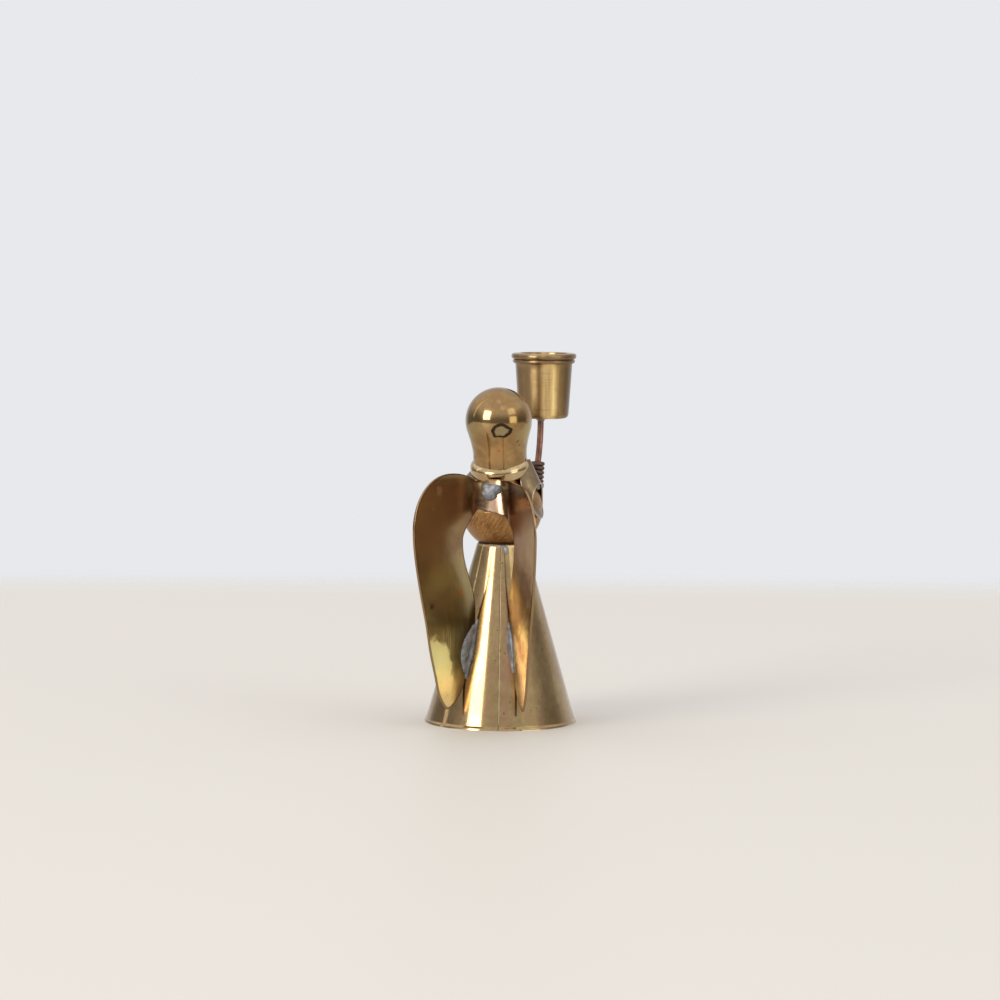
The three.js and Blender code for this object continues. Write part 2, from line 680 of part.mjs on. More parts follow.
function armWire(path) {
  const section = new THREE.Shape();
  for (let i = 0; i < WIRE_SIDES; i += 1) {
    const angle = (2 * Math.PI * i) / WIRE_SIDES;
    const point = [ARM_WIRE_RADIUS * Math.cos(angle), ARM_WIRE_RADIUS * Math.sin(angle)];
    if (i === 0) section.moveTo(...point);
    else section.lineTo(...point);
  }
  return new THREE.ExtrudeGeometry(section, { steps: path.steps, extrudePath: path });
}

function alongArm({ end, wall }, profile) {
  return turned(profile, SMALL_SEGMENTS).rotateX(Math.PI / 2).translate(end.x, wall.y, end.z);
}

function armRoom(arm) {
  const radius = ARM_WIRE_RADIUS + ARM_HOLE_CLEARANCE;
  const inside = -ARM_HOLE_DEPTH;
  return solidOf(alongArm(arm, [[0, inside], [radius, inside], [radius, ARM_STRAIGHT], [0, ARM_STRAIGHT]]));
}

function armSolder(side, arm) {
  const hole = ARM_WIRE_RADIUS + ARM_HOLE_CLEARANCE;
  const ring = alongArm(arm, closed([
    [hole, -ARM_SOLDER_HEIGHT],
    [ARM_SOLDER_RADIUS, -ARM_SOLDER_HEIGHT],
    [ARM_SOLDER_RADIUS, 0],
    [hole + GAP, ARM_SOLDER_HEIGHT],
    [hole, ARM_SOLDER_HEIGHT],
  ]));
  const wall = sleeveCone(side, -2 * GAP, 1);
  return cut(ring, solidOf(wall), ballGrown(GAP));
}

// Candle cup, with its place over the stem

const cupFoot = stemTop.z + STEM_FREE_LENGTH;
const stemReach = (cupFoot - GAP - stemTop.z) / stemAxis.z - STEM_RADIUS * Math.tan(rad(STEM_LEAN));
const stemEnd = stemTop.clone().addScaledVector(stemAxis, stemReach);

function cup() {
  const rimFoot = CUP_HEIGHT - RIM_BEAD_HEIGHT - RIM_STEP_HEIGHT;
  const foot = moved(arc(CUP_FOOT_FILLET, -90, 0, 4), CUP_FOOT_RADIUS - CUP_FOOT_FILLET, CUP_FOOT_FILLET);
  const beadTop = moved(arc(RIM_ROUND, 0, 90, 3), RIM_RADIUS - RIM_ROUND, CUP_HEIGHT - RIM_ROUND);
  return turned([
    [0, 0],
    ...foot,
    [CUP_BODY_RADIUS, rimFoot],
    [RIM_STEP_RADIUS, rimFoot],
    [RIM_STEP_RADIUS, rimFoot + RIM_STEP_HEIGHT],
    [RIM_RADIUS, rimFoot + RIM_STEP_HEIGHT],
    ...beadTop,
    [CUP_BORE_MOUTH_RADIUS, CUP_HEIGHT],
    [CUP_BORE_FLOOR_RADIUS, CUP_FLOOR],
    [0, CUP_FLOOR],
  ]);
}

function cupSolder() {
  const hole = STEM_RADIUS + GAP;
  const top = -GAP / 2;
  return turned(closed([
    [hole, top - CUP_SOLDER_HEIGHT],
    [hole + GAP, top - CUP_SOLDER_HEIGHT],
    [hole + GAP * 2, top - CUP_SOLDER_HEIGHT / 2],
    [CUP_SOLDER_RADIUS, top],
    [hole, top],
  ]), SMALL_SEGMENTS);
}

function stem(windingHeight) {
  const down = windingHeight + STEM_TAIL;
  const wire = new THREE.CylinderGeometry(STEM_RADIUS, STEM_RADIUS, stemReach + down, STEM_SEGMENTS);
  return wire.rotateX(Math.PI / 2).translate(0, 0, (stemReach - down) / 2);
}

// Finishes

const brass = () => new THREE.MeshStandardMaterial({ color: 0xb5924c, roughness: 0.28, metalness: 1 });
const turnedBrass = () => new THREE.MeshStandardMaterial({ color: 0xae8a45, roughness: 0.35, metalness: 1 });
const copper = () => new THREE.MeshStandardMaterial({ color: 0x6e4433, roughness: 0.45, metalness: 1 });
const solder = () => new THREE.MeshStandardMaterial({ color: 0x83888f, roughness: 0.6, metalness: 1 });

// The figure, put together from the skirt up

const figure = new THREE.Group();

function add(name, geometry, material, parent = figure) {
  const mesh = new THREE.Mesh(geometry, material);
  mesh.name = name;
  parent.add(mesh);
  return mesh;
}

add('skirt', skirt(), brass());
add('skirt_seam_solder', seamBead(), solder());
add('waist_ring_solder', waistRing(), solder());
add('waist_drip_solder', waistDrip(), solder());
add('torso_lower_half', torsoHalf(-1), brass()).position.copy(torsoCentre);
add('torso_upper_half', torsoHalf(1), brass()).position.copy(torsoCentre);

const headGroup = new THREE.Group();
headGroup.position.copy(torsoCentre);
headGroup.rotation.copy(headLean);
figure.add(headGroup);
add('collar', collar(), brass(), headGroup);
add('head', head(), brass(), headGroup);
add('head_solder_scar', headScar(), solder(), headGroup);

add('wings', wings(), brass());
add('wing_bridge_solder', bridgeBlob(), solder());
add('left_wing_solder', wingBead(wingSides.left), solder());
add('right_wing_solder', wingBead(wingSides.right), solder());

const leftArm = armEnd(1);
const rightArm = armEnd(-1);
add('left_sleeve', sleeve(1, armRoom(leftArm)), brass());
add('right_sleeve', sleeve(-1, armRoom(rightArm)), brass());
add('left_shoulder_solder', shoulderSolder(1, leftArm), solder());
add('right_shoulder_solder', shoulderSolder(-1, rightArm), solder());
add('left_arm_solder', armSolder(1, leftArm), solder());
add('right_arm_solder', armSolder(-1, rightArm), solder());

const { path, windingHeight } = armPath(leftArm, rightArm);
add('arm_wire', armWire(path), copper());
console.log('arm wire: least gap to itself', leastGapToItself(path, 2 * ARM_WIRE_RADIUS).toFixed(2), 'mm');

const stemGroup = new THREE.Group();
stemGroup.position.copy(stemTop);
stemGroup.rotation.copy(stemLean);
figure.add(stemGroup);
add('candle_stem', stem(windingHeight), copper(), stemGroup);
add('cup_solder', cupSolder(), solder(), stemGroup).position.z = stemReach;
add('candle_cup', cup(), turnedBrass()).position.set(stemEnd.x - CUP_OFF_STEM, stemEnd.y, cupFoot);

// The origin is under the middle of the whole figure, on the table
const box = new THREE.Box3().setFromObject(figure);
const middle = box.getCenter(new THREE.Vector3());
figure.position.set(-middle.x, -middle.y, -box.min.z);

const angel = new THREE.Group();
angel.add(figure);

export default angel;
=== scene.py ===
from math import acos, atan2, ceil, cos, exp, hypot, log, pi, radians, remainder, sin, sqrt, tan, tau
import bmesh
import bpy
from mathutils import Matrix, Vector, kdtree, noise


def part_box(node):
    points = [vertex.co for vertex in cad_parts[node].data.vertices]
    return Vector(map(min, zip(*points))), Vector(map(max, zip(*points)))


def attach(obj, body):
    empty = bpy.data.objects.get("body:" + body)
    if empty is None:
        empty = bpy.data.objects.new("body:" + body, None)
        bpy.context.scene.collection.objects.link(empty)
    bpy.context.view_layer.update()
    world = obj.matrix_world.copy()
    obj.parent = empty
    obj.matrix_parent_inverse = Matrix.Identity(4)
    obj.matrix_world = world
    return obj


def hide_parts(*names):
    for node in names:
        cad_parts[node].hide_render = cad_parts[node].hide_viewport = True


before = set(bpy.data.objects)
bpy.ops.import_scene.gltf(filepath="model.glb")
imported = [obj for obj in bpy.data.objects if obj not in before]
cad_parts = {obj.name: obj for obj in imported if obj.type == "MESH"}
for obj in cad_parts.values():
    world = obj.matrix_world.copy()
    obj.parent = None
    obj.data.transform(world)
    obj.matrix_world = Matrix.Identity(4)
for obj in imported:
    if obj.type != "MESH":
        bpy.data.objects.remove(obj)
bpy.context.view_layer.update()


# Skirt: a cone rolled by hand from thin sheet brass and butted along a seam at the back.
# It carries the whole figure. The rolling left faint flats down its length, and the foot
# was filed level, so its edge is a little bright and not quite round.
mm = 0.001
low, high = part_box("skirt")
figure = Vector(((low.x + high.x) / 2, (low.y + high.y) / 2, 0))
skirt_height = high.z
skirt_foot = (high.x - low.x) / 2
skirt_top = 7.4 * mm
skirt_strips = 160
sheet = 0.6 * mm
flat_share, ridge_share, ridge_fade = 0.004, 0.006, 0.3
lip_out, lip_top, lip_slope = 0.34 * mm, 1.05 * mm, 0.45 * mm
seam_turn = radians(11)
seam_slit = 0.17 * mm
seam_way = Vector((-sin(seam_turn), cos(seam_turn), 0))
seam_across = Vector((cos(seam_turn), sin(seam_turn), 0))


def skirt_radius(z):
    """The outside of the cone at one height."""
    return skirt_foot + (skirt_top - skirt_foot) * z / skirt_height


def within(value):
    """A number held between 0 and 1."""
    return min(max(value, 0), 1)


def spun(points, steps):
    """A bmesh turned about the Z axis from a line of (radius, height) points."""
    bm = bmesh.new()
    line = [bm.verts.new((0, r, z)) for r, z in points]
    for a, b in zip(line, line[1:]):
        bm.edges.new((a, b))
    bmesh.ops.spin(bm, geom=bm.verts[:] + bm.edges[:], cent=(0, 0, 0), axis=(0, 0, 1),
                   angle=tau, steps=steps, use_merge=True)
    bmesh.ops.remove_doubles(bm, verts=bm.verts[:], dist=1e-7)
    bmesh.ops.recalc_face_normals(bm, faces=bm.faces[:])
    return bm


def round_edges(bm, width, least=50, among=None):
    """Takes the sharpness off all edges, or some, that turn by more than the least angle."""
    sharp = [e for e in among or bm.edges
             if e.is_manifold and e.calc_face_angle() > radians(least)]
    bmesh.ops.bevel(bm, geom=sharp, offset=width, affect="EDGES", segments=2, profile=0.5,
                    material=-1, clamp_overlap=True)


def placed(name, data):
    """A new object in the scene."""
    new = bpy.data.objects.new(name, data)
    bpy.context.scene.collection.objects.link(new)
    return new


def made(bm, name, finish, shift=(0, 0, 0)):
    """The finished object: put in its place, smooth over its curves and crisp at its corners."""
    bmesh.ops.translate(bm, vec=shift, verts=bm.verts[:])
    for face in bm.faces:
        face.smooth = True
    for edge in bm.edges:
        edge.smooth = not edge.is_manifold or edge.calc_face_angle() < radians(38)
    mesh = bpy.data.meshes.new(name)
    bm.to_mesh(mesh)
    bm.free()
    mesh.materials.append(finish)
    return placed(name, mesh)


def join(tree, value, socket):
    """Sets a socket to a value or a colour, or links another socket to it."""
    if isinstance(value, bpy.types.NodeSocket):
        tree.links.new(value, socket)
    else:
        socket.default_value = (*value, 1) if socket.type == "RGBA" else value


def put(tree, kind, inputs=None, **settings):
    """A shader node with its settings, and its inputs set or joined."""
    node = tree.nodes.new("ShaderNode" + kind)
    for name, value in settings.items():
        setattr(node, name, value)
    for name, value in (inputs or {}).items():
        join(tree, value, node.inputs[name])
    return node


def tree_of(*values):
    """The node tree of the first socket among some values."""
    return next(value.id_data for value in values if isinstance(value, bpy.types.NodeSocket))


def mixed(share, first, second):
    """The colour between two colours, by a share from 0 to 1."""
    return put(tree_of(share), "Mix", {0: share, 6: first, 7: second}, data_type="RGBA").outputs[2]


def sums(operation, *values):
    """The outcome of a sum on values."""
    return put(tree_of(*values), "Math", dict(enumerate(values)), operation=operation).outputs[0]


def times(first, second):
    """One value times another."""
    return sums("MULTIPLY", first, second)


def added(base, *shares):
    """A value plus shares of others, each a socket and a factor."""
    for value, factor in shares:
        base = sums("MULTIPLY_ADD", value, factor, base)
    return base


def spread(value, from_low, from_high, to_low=0.0, to_high=1.0):
    """A value carried smoothly from one range to another."""
    ranges = {"Value": value, "From Min": from_low, "From Max": from_high,
              "To Min": to_low, "To Max": to_high}
    return put(tree_of(value), "MapRange", ranges, interpolation_type="SMOOTHSTEP").outputs[0]


def noisy(place, scale, detail=4.0, roughness=0.6, distortion=0.0):
    """A soft noise over the surface."""
    return put(tree_of(place), "TexNoise", {
        "Vector": place, "Scale": scale, "Detail": detail, "Roughness": roughness, "Distortion": distortion,
    }).outputs[0]


def measured(place, other, operation):
    """The dot product of a place with a direction, or its distance from a point."""
    return put(tree_of(place), "VectorMath", {0: place, 1: other}, operation=operation).outputs["Value"]


def shrunk(place, size):
    """A place counted in steps of a size."""
    steps = {0: place, "Scale": sums("DIVIDE", 1.0, size)}
    return put(tree_of(place), "VectorMath", steps, operation="SCALE").outputs[0]


def parts_of(place):
    """The X, Y and Z of a place."""
    return put(tree_of(place), "SeparateXYZ", {0: place}).outputs


def group(name, inputs, outputs):
    """A new shader node group, with what it is given and what it puts out."""
    tree = bpy.data.node_groups.new(name, "ShaderNodeTree")
    for socket, kind, value in inputs:
        entry = tree.interface.new_socket(socket, in_out="INPUT", socket_type="NodeSocket" + kind)
        entry.default_value = (*value, 1) if kind == "Color" else value
    for socket, kind in outputs:
        tree.interface.new_socket(socket, in_out="OUTPUT", socket_type="NodeSocket" + kind)
    return tree, tree.nodes.new("NodeGroupInput").outputs, tree.nodes.new("NodeGroupOutput").inputs


def use(shared, **inputs):
    """A node group placed in a material with its own values."""
    tree = tree_of(*inputs.values())
    node = tree.nodes.new("ShaderNodeGroup")
    node.node_tree = shared
    for name, value in inputs.items():
        join(tree, value, node.inputs[name.replace("_", " ")])
    return node.outputs


def new_finish(name, **principled):
    """A material with its Principled BSDF's plain values set, and where the surface lies."""
    finish = bpy.data.materials.new(name)
    finish.use_nodes = True
    tree = finish.node_tree
    shader = tree.nodes["Principled BSDF"]
    for socket, value in principled.items():
        join(tree, value, shader.inputs[socket.replace("_", " ")])
    return finish, tree, shader, put(tree, "TexCoord").outputs["Object"]


def coat(shader, colour, rough, height, strength, depth):
    """Joins a material's colour, roughness and fine relief to its shader."""
    tree = shader.id_data
    tree.links.new(colour, shader.inputs["Base Color"])
    tree.links.new(rough, shader.inputs["Roughness"])
    bump = put(tree, "Bump", {"Height": height, "Strength": strength, "Distance": depth})
    tree.links.new(bump.outputs[0], shader.inputs["Normal"])


# Old brass: clouds of brown tarnish over a yellow metal, seen on every sheet and turned piece
tarnish, given, wanted = group("tarnish", [
    ("Place", "Vector", (0, 0, 0)), ("Bright", "Color", (0.7, 0.5, 0.24)),
    ("Dull", "Color", (0.4, 0.26, 0.1)), ("Cloud Size", "Float", 0.01), ("Amount", "Float", 0.5),
], [("Colour", "Color"), ("Cover", "Float")])
scaled = shrunk(given["Place"], given["Cloud Size"])
broad = noisy(scaled, 1.0, 5.0, 0.6, 0.6)
fine = noisy(scaled, 9.0, 4.0, 0.65)
cloudy = added(times(broad, 0.7), (fine, 0.3))
dullest = sums("SUBTRACT", 0.98, times(given["Amount"], 0.9))
brightest = sums("SUBTRACT", dullest, 0.3)
cover = put(tarnish, "MapRange", {"Value": cloudy, "From Min": brightest, "From Max": dullest}).outputs[0]
tarnish.links.new(mixed(cover, given["Bright"], given["Dull"]), wanted["Colour"])
tarnish.links.new(cover, wanted["Cover"])

# Hand polish: hair-fine scratches drawn out along one way, which dull and break the gloss
polish, given, wanted = group("polish", [
    ("Place", "Vector", (0, 0, 0)), ("Along", "Vector", (1, 1, 0.05)), ("Fineness", "Float", 2500.0),
], [("Marks", "Float"), ("Wear", "Float")])
stretched = put(polish, "VectorMath", {0: given["Place"], 1: given["Along"]}, operation="MULTIPLY").outputs[0]
polish.links.new(noisy(stretched, given["Fineness"], 3.0, 0.7), wanted["Marks"])
polish.links.new(noisy(given["Place"], 120.0), wanted["Wear"])

# Pits: small dark specks where the metal has corroded
pits, given, wanted = group("pits", [
    ("Place", "Vector", (0, 0, 0)), ("Spacing", "Float", 0.002),
    ("Share", "Float", 0.2), ("Size", "Float", 0.16),
], [("Specks", "Float")])
spaced = shrunk(given["Place"], given["Spacing"])
cells = put(pits, "TexVoronoi", {"Vector": spaced, "Scale": 1.0, "Randomness": 1.0}).outputs
tint = put(pits, "SeparateColor", {"Color": cells["Color"]}).outputs
chosen = sums("LESS_THAN", tint[0], given["Share"])
wide = times(given["Size"], sums("ADD", 0.4, tint[1]))
inside = put(pits, "MapRange", {"Value": cells["Distance"], "From Min": wide, "From Max": times(wide, 0.5)})
pits.links.new(times(chosen, inside.outputs[0]), wanted["Specks"])


def aged(place, bright, dull, cloud_size, amount):
    """Old brass or copper, between a bright and a dull colour."""
    return use(tarnish, Place=place, Bright=bright, Dull=dull, Cloud_Size=cloud_size, Amount=amount)


def pitted(place, colour, dark, depth, spacing, share, size):
    """A colour with dark specks in it."""
    specks = use(pits, Place=place, Spacing=spacing, Share=share, Size=size)["Specks"]
    return mixed(times(specks, depth), colour, dark)


skirt_brass, tree, shader, place = new_finish("skirt_brass", Metallic=1.0)
clouds = aged(place, (0.46, 0.34, 0.17), (0.3, 0.2, 0.095), 14 * mm, 0.42)
marks = use(polish, Place=place, Along=(1, 1, 0.06), Fineness=3000.0)
bands = use(polish, Place=place, Along=(1, 1, 0.012), Fineness=260.0)["Marks"]
banded = mixed(spread(bands, 0.46, 0.66, 0.0, 0.85), clouds["Colour"], (0.33, 0.2, 0.11))
torch_line = figure.dot(seam_across) - 2.2 * mm
from_line = sums("ABSOLUTE", sums("SUBTRACT", measured(place, seam_across, "DOT_PRODUCT"), torch_line))
upright = parts_of(place)
torched = times(spread(from_line, 1.2 * mm, 0.2 * mm, 0.0, 0.6), spread(upright["Y"], 0.0, 6 * mm))
torched = times(torched, spread(upright["Z"], 36 * mm, 16 * mm))
pinked = mixed(torched, banded, (0.38, 0.21, 0.13))
filed = mixed(spread(upright["Z"], 0.5 * mm, 0.15 * mm, 0.0, 0.8), pinked, (0.6, 0.46, 0.25))
coat(shader, pitted(place, filed, (0.05, 0.035, 0.025), 0.85, 1.2 * mm, 0.3, 0.2),
     added(0.05, (clouds["Cover"], 0.07), (marks["Wear"], 0.06)), marks["Marks"], 0.12, 0.04 * mm)

heights = [i * 0.15 * mm for i in range(9)] + [skirt_height * i / 60 for i in range(2, 61)]
bm = spun([(skirt_radius(z), z) for z in heights], skirt_strips)
seam_in_strip = Matrix.Rotation(seam_turn + pi / skirt_strips, 3, "Z")
bmesh.ops.rotate(bm, cent=(0, 0, 0), matrix=seam_in_strip, verts=bm.verts[:])
for vert in bm.verts:
    turn = atan2(vert.co.y, vert.co.x)
    ring = Vector((cos(turn), sin(turn), 0))
    flats = (noise.noise(ring * 4.5 + Vector((0, 0, vert.co.z * 6)))
             + 0.5 * noise.noise(ring * 11 + Vector((3, 0, vert.co.z * 9))))
    from_seam = abs(remainder(turn - pi / 2 - seam_turn, tau))
    ridge = ridge_share * exp(-from_seam / ridge_fade)
    vert.co += ring * (flats * flat_share + ridge) * skirt_radius(vert.co.z)
for side in (-1, 1):
    back = [item for item in bm.faces[:] + bm.edges[:] + bm.verts[:]
            if (item.co if isinstance(item, bmesh.types.BMVert) else item.verts[0].co).dot(seam_way) > 0]
    bmesh.ops.bisect_plane(bm, geom=back, plane_co=seam_across * side * seam_slit / 2, plane_no=seam_across)
slit = [f for f in bm.faces if f.calc_center_median().dot(seam_way) > 0
        and abs(f.calc_center_median().dot(seam_across)) < seam_slit / 2]
bmesh.ops.delete(bm, geom=slit, context="FACES")
bmesh.ops.recalc_face_normals(bm, faces=bm.faces[:])
bmesh.ops.solidify(bm, geom=bm.faces[:], thickness=sheet)
for vert in bm.verts:
    ring = Vector((vert.co.x, vert.co.y, 0))
    if ring.length > skirt_radius(vert.co.z) - sheet / 2:
        lip = lip_out * within((lip_top - vert.co.z) / lip_slope)
        vert.co += ring.normalized() * lip * (1 + 0.5 * noise.noise(ring.normalized() * 5))
off_lip = [e for e in bm.edges
           if min(v.co.z for v in e.verts) > 1.3 * mm or max(v.co.z for v in e.verts) < 0.1 * mm]
round_edges(bm, 0.05 * mm, among=off_lip)
for vert in bm.verts:
    vert.co.z = min(max(vert.co.z, 0), skirt_height)
skirt = made(bm, "skirt_cone", skirt_brass, figure)
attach(skirt, "root")
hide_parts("skirt")


# Solder inside the skirt: a run along the seam, and a ring under the ball that holds the torso.
# Soft grey solder, melted on from below, so it lies in lumps and is only seen from underneath.
wall = sheet / cos(atan2(skirt_foot - skirt_top, skirt_height))


def drawn(path, sides, radius):
    """A bmesh of a round rod swept along points. Radius is a number, or one for each point."""
    bm = bmesh.new()
    sizes = radius if isinstance(radius, list) else [radius] * len(path)
    ways = [(path[min(i + 1, len(path) - 1)] - path[max(i - 1, 0)]).normalized() for i in range(len(path))]
    across = ways[0].orthogonal().normalized()
    loop = []
    for point, way, size in zip(path, ways, sizes):
        across = (across - way * across.dot(way)).normalized()
        turn = Matrix((across, way.cross(across), way)).transposed().to_4x4()
        spot = Matrix.Translation(point) @ turn @ Matrix.Scale(size, 4)
        ring = bmesh.ops.create_circle(bm, cap_ends=False, segments=sides, radius=1, matrix=spot)["verts"]
        edges = list({e for v in ring for e in v.link_edges})
        if loop:
            bmesh.ops.bridge_loops(bm, edges=loop + edges)
        else:
            bmesh.ops.contextual_create(bm, geom=edges)
        loop = edges
    bmesh.ops.contextual_create(bm, geom=loop)
    bmesh.ops.recalc_face_normals(bm, faces=bm.faces[:])
    return bm


def lumpy(bm, depth, size, seed):
    """Moves the surface in and out by a soft noise, as melted metal sets."""
    bm.normal_update()
    for vert in bm.verts:
        vert.co += vert.normal * depth * noise.noise(vert.co / size + Vector((seed, 0, 0)))


solder, tree, shader, place = new_finish("soft_solder", Metallic=0.6)
grain = noisy(place, 1700.0)
blotch = spread(noisy(place, 320.0), 0.35, 0.7)
grey = mixed(blotch, (0.165, 0.17, 0.185), (0.31, 0.31, 0.33))
coat(shader, pitted(place, grey, (0.09, 0.08, 0.08), 0.6, 1.1 * mm, 0.3, 0.3),
     spread(grain, 0.3, 0.75, 0.36, 0.62), grain, 0.5, 0.12 * mm)

run = [seam_way * (skirt_radius(z * mm) - wall - 0.9 * mm) + Vector((0, 0, z * mm)) for z in range(3, 50)]
run_sizes = [(0.55 + 0.7 * min(1, (i + 1) / 4, (len(run) - i) / 4)) * mm for i in range(len(run))]
bm = drawn(run, 20, run_sizes)
lumpy(bm, 0.35 * mm, 2.2 * mm, 4)
seam_solder = made(bm, "seam_solder", solder, figure)
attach(seam_solder, "root")
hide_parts("skirt_seam_solder")

low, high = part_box("waist_ring_solder")
inner = 4.5 * mm
ring_low = skirt_radius(low.z) - wall - 0.15 * mm
ring_high = skirt_radius(high.z) - wall - 0.15 * mm
bm = spun([(inner, high.z), (inner + 0.9 * mm, low.z + 0.7 * mm), (ring_low - 0.5 * mm, low.z + 0.1 * mm),
           (ring_low, low.z), (ring_high, high.z), (7.05 * mm, skirt_height + 0.1 * mm),
           (6.3 * mm, skirt_height + 0.15 * mm), (inner, high.z)], 120)
bmesh.ops.subdivide_edges(bm, edges=bm.edges[:], cuts=1, use_grid_fill=True)
lumpy(bm, 0.2 * mm, 1.8 * mm, 9)
waist_solder = made(bm, "waist_solder", solder, figure)
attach(waist_solder, "root")
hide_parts("waist_ring_solder")


# Torso: a hollow brass ball spun as two halves and soldered round the middle, with a small vent
# at each end. It sits in the skirt's top. It was brushed and then browned by the torch.
low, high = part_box("torso_lower_half")
ball = (high.x - low.x) / 2
vent = 1.5 * mm
joint_gap = 0.04 * mm
centre = Vector((0, 0, (high.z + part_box("torso_upper_half")[0].z) / 2))
torso = figure + centre

torso_brass, tree, shader, place = new_finish("torso_brass", Metallic=1.0)
centred = put(tree, "Mapping", {"Vector": place, "Location": -torso}).outputs[0]
slanted = put(tree, "Mapping", {"Vector": centred, "Rotation": (0.15, 0.6, 0)}).outputs[0]
clouds = aged(place, (0.42, 0.235, 0.085), (0.26, 0.125, 0.045), 8 * mm, 0.5)
brushed = use(polish, Place=slanted, Along=(1, 1, 0.07), Fineness=2000.0)["Marks"]
streaky = mixed(spread(brushed, 0.42, 0.66, 0.0, 0.65), clouds["Colour"], (0.52, 0.3, 0.12))
off_joint = sums("ABSOLUTE", parts_of(centred)["Z"])
rubbed_and_highlight = mixed(spread(off_joint, 0.5 * mm, 0.15 * mm, 0.0, 0.6), streaky, (0.6, 0.38, 0.18))
coat(shader, rubbed_and_highlight, spread(brushed, 0.3, 0.7, 0.28, 0.46), brushed, 0.4, 0.06 * mm)

for name, node, side in (("torso_lower", "torso_lower_half", -1), ("torso_upper", "torso_upper_half", 1)):
    shell = []
    for radius, steps in ((ball, 40), (ball - sheet, 30)):
        turns = [acos(vent / radius) * i / steps for i in range(steps + 1)]
        bow = [(radius * cos(turn), side * radius * sin(turn)) for turn in turns]
        shell.extend(bow if not shell else bow[::-1])
    bm = spun(shell + shell[:1], 144)
    round_edges(bm, 0.1 * mm)
    half_ball = made(bm, name, torso_brass, torso + Vector((0, 0, side * joint_gap / 2)))
    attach(half_ball, "root")
    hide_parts(node)


# Collar and head: a rounded ring on the ball, and a spun brass bulb whose neck stands in it. Both
# lean back. The bulb is hollow and plain all round, polished bright, with old finger marks.
lean = (Matrix.Translation(torso) @ Matrix.Rotation(radians(-9), 4, "X")
        @ Matrix.Rotation(radians(0.5), 4, "Y"))
gap = 0.25 * mm
collar_seat, collar_radius, collar_wall = 6.6 * mm, 8.8 * mm, 0.45 * mm
collar_bulge, collar_belly = collar_radius + 0.25 * mm, 13.1 * mm
collar_round, collar_skirting, collar_dip = 2.3 * mm, 3.7 * mm, 1.3 * mm
collar_top = sqrt((ball + gap) ** 2 - collar_seat ** 2) + 4.2 * mm
neck = collar_radius - collar_wall - 0.3 * mm
neck_straight, neck_blend, neck_insert = 2.13 * mm, 2.4 * mm, 1.5 * mm
bulb = 10 * mm
taper = radians(17)
neck_bend = collar_top + neck_straight + neck_blend
bulb_middle = neck_bend + (bulb * cos(taper) - neck) / tan(taper) + bulb * sin(taper)

# Stain: a patch round one spot that fades at a ragged edge, as a finger or the torch leaves it
stain, given, wanted = group("stain", [
    ("Place", "Vector", (0, 0, 0)), ("Spot", "Vector", (0, 0, 0)), ("Radius", "Float", 0.005),
    ("Ragged", "Float", 0.4), ("Fade", "Float", 0.2),
], [("Mask", "Float")])
ragged_by = times(given["Ragged"], given["Radius"])
edge_noise = noisy(given["Place"], sums("DIVIDE", 2.2, given["Radius"]), 3.0)
wander = spread(edge_noise, 0.3, 0.7, times(ragged_by, -1.0), ragged_by)
from_spot = sums("ADD", measured(given["Place"], given["Spot"], "DISTANCE"), wander)
stain.links.new(spread(from_spot, given["Radius"], times(given["Radius"], given["Fade"])), wanted["Mask"])


def collar_side(inset):
    """The rounded side from the ball round to the neck, inset by the wall."""
    side = []
    for i in range(29):
        angle = radians(-74 + 150 * i / 28)
        rise = (collar_skirting if angle < 0 else collar_round) - inset
        width = cos(angle) ** (0.55 if angle < 0 else 0.9)
        side.append((collar_bulge - collar_round + width * (collar_round - inset),
                     collar_belly + sin(angle) * rise))
    return side


collar_brass, tree, shader, place = new_finish("collar_brass", Metallic=1.0)
clouds = aged(place, (0.62, 0.48, 0.28), (0.4, 0.28, 0.14), 8 * mm, 0.4)
turning = use(polish, Place=place, Along=(0.25, 0.25, 1), Fineness=2600.0)["Marks"]
coat(shader, clouds["Colour"], spread(clouds["Cover"], 0, 1, 0.07, 0.17), turning, 0.06, 0.04 * mm)

profile = collar_side(0) + collar_side(collar_wall)[::-1]
bm = spun(profile + profile[:1], 144)
for vert in bm.verts:
    raised = within((vert.co.z - 10 * mm) / (5 * mm))
    vert.co.z -= raised * collar_dip * max(0, vert.co.y / collar_bulge) ** 1.5
round_edges(bm, 0.13 * mm)
bmesh.ops.transform(bm, matrix=lean, verts=bm.verts[:])
collar = made(bm, "collar_ring", collar_brass)
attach(collar, "root")
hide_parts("collar")

spun_brass, tree, shader, place = new_finish("spun_brass", Metallic=1.0)
clouds = aged(place, (0.46, 0.335, 0.165), (0.3, 0.18, 0.075), 11 * mm, 0.5)
marks = use(polish, Place=place, Along=(0.25, 0.25, 1), Fineness=2600.0)
handled = clouds["Colour"]
for turn, above, out, radius, fade, tint in (
        (12, -8, 8.4, 6, 0.1, (0.46, 0.27, 0.11)), (10.5, -7.4, 8.5, 0.7, 0.4, (0.45, 0.17, 0.06)),
        (50, -5, 9.0, 0.7, 0.4, (0.22, 0.13, 0.06)), (56, -6.4, 8.8, 0.6, 0.4, (0.22, 0.13, 0.06)),
        (15, 7.3, 6.8, 1.1, 0.1, (0.42, 0.25, 0.13)), (22, 5.6, 8.3, 1.2, 0.1, (0.42, 0.25, 0.13)),
        (75, -3, 9.5, 6, 0.1, (0.4, 0.31, 0.15)), (-52, 0, 10, 7, 0.1, (0.34, 0.25, 0.12))):
    turn = radians(turn)
    spot = lean @ Vector((-out * mm * sin(turn), out * mm * cos(turn), bulb_middle + above * mm))
    mark = use(stain, Place=place, Spot=spot, Radius=radius * mm, Ragged=0.25, Fade=fade)["Mask"]
    handled = mixed(mark, handled, tint)
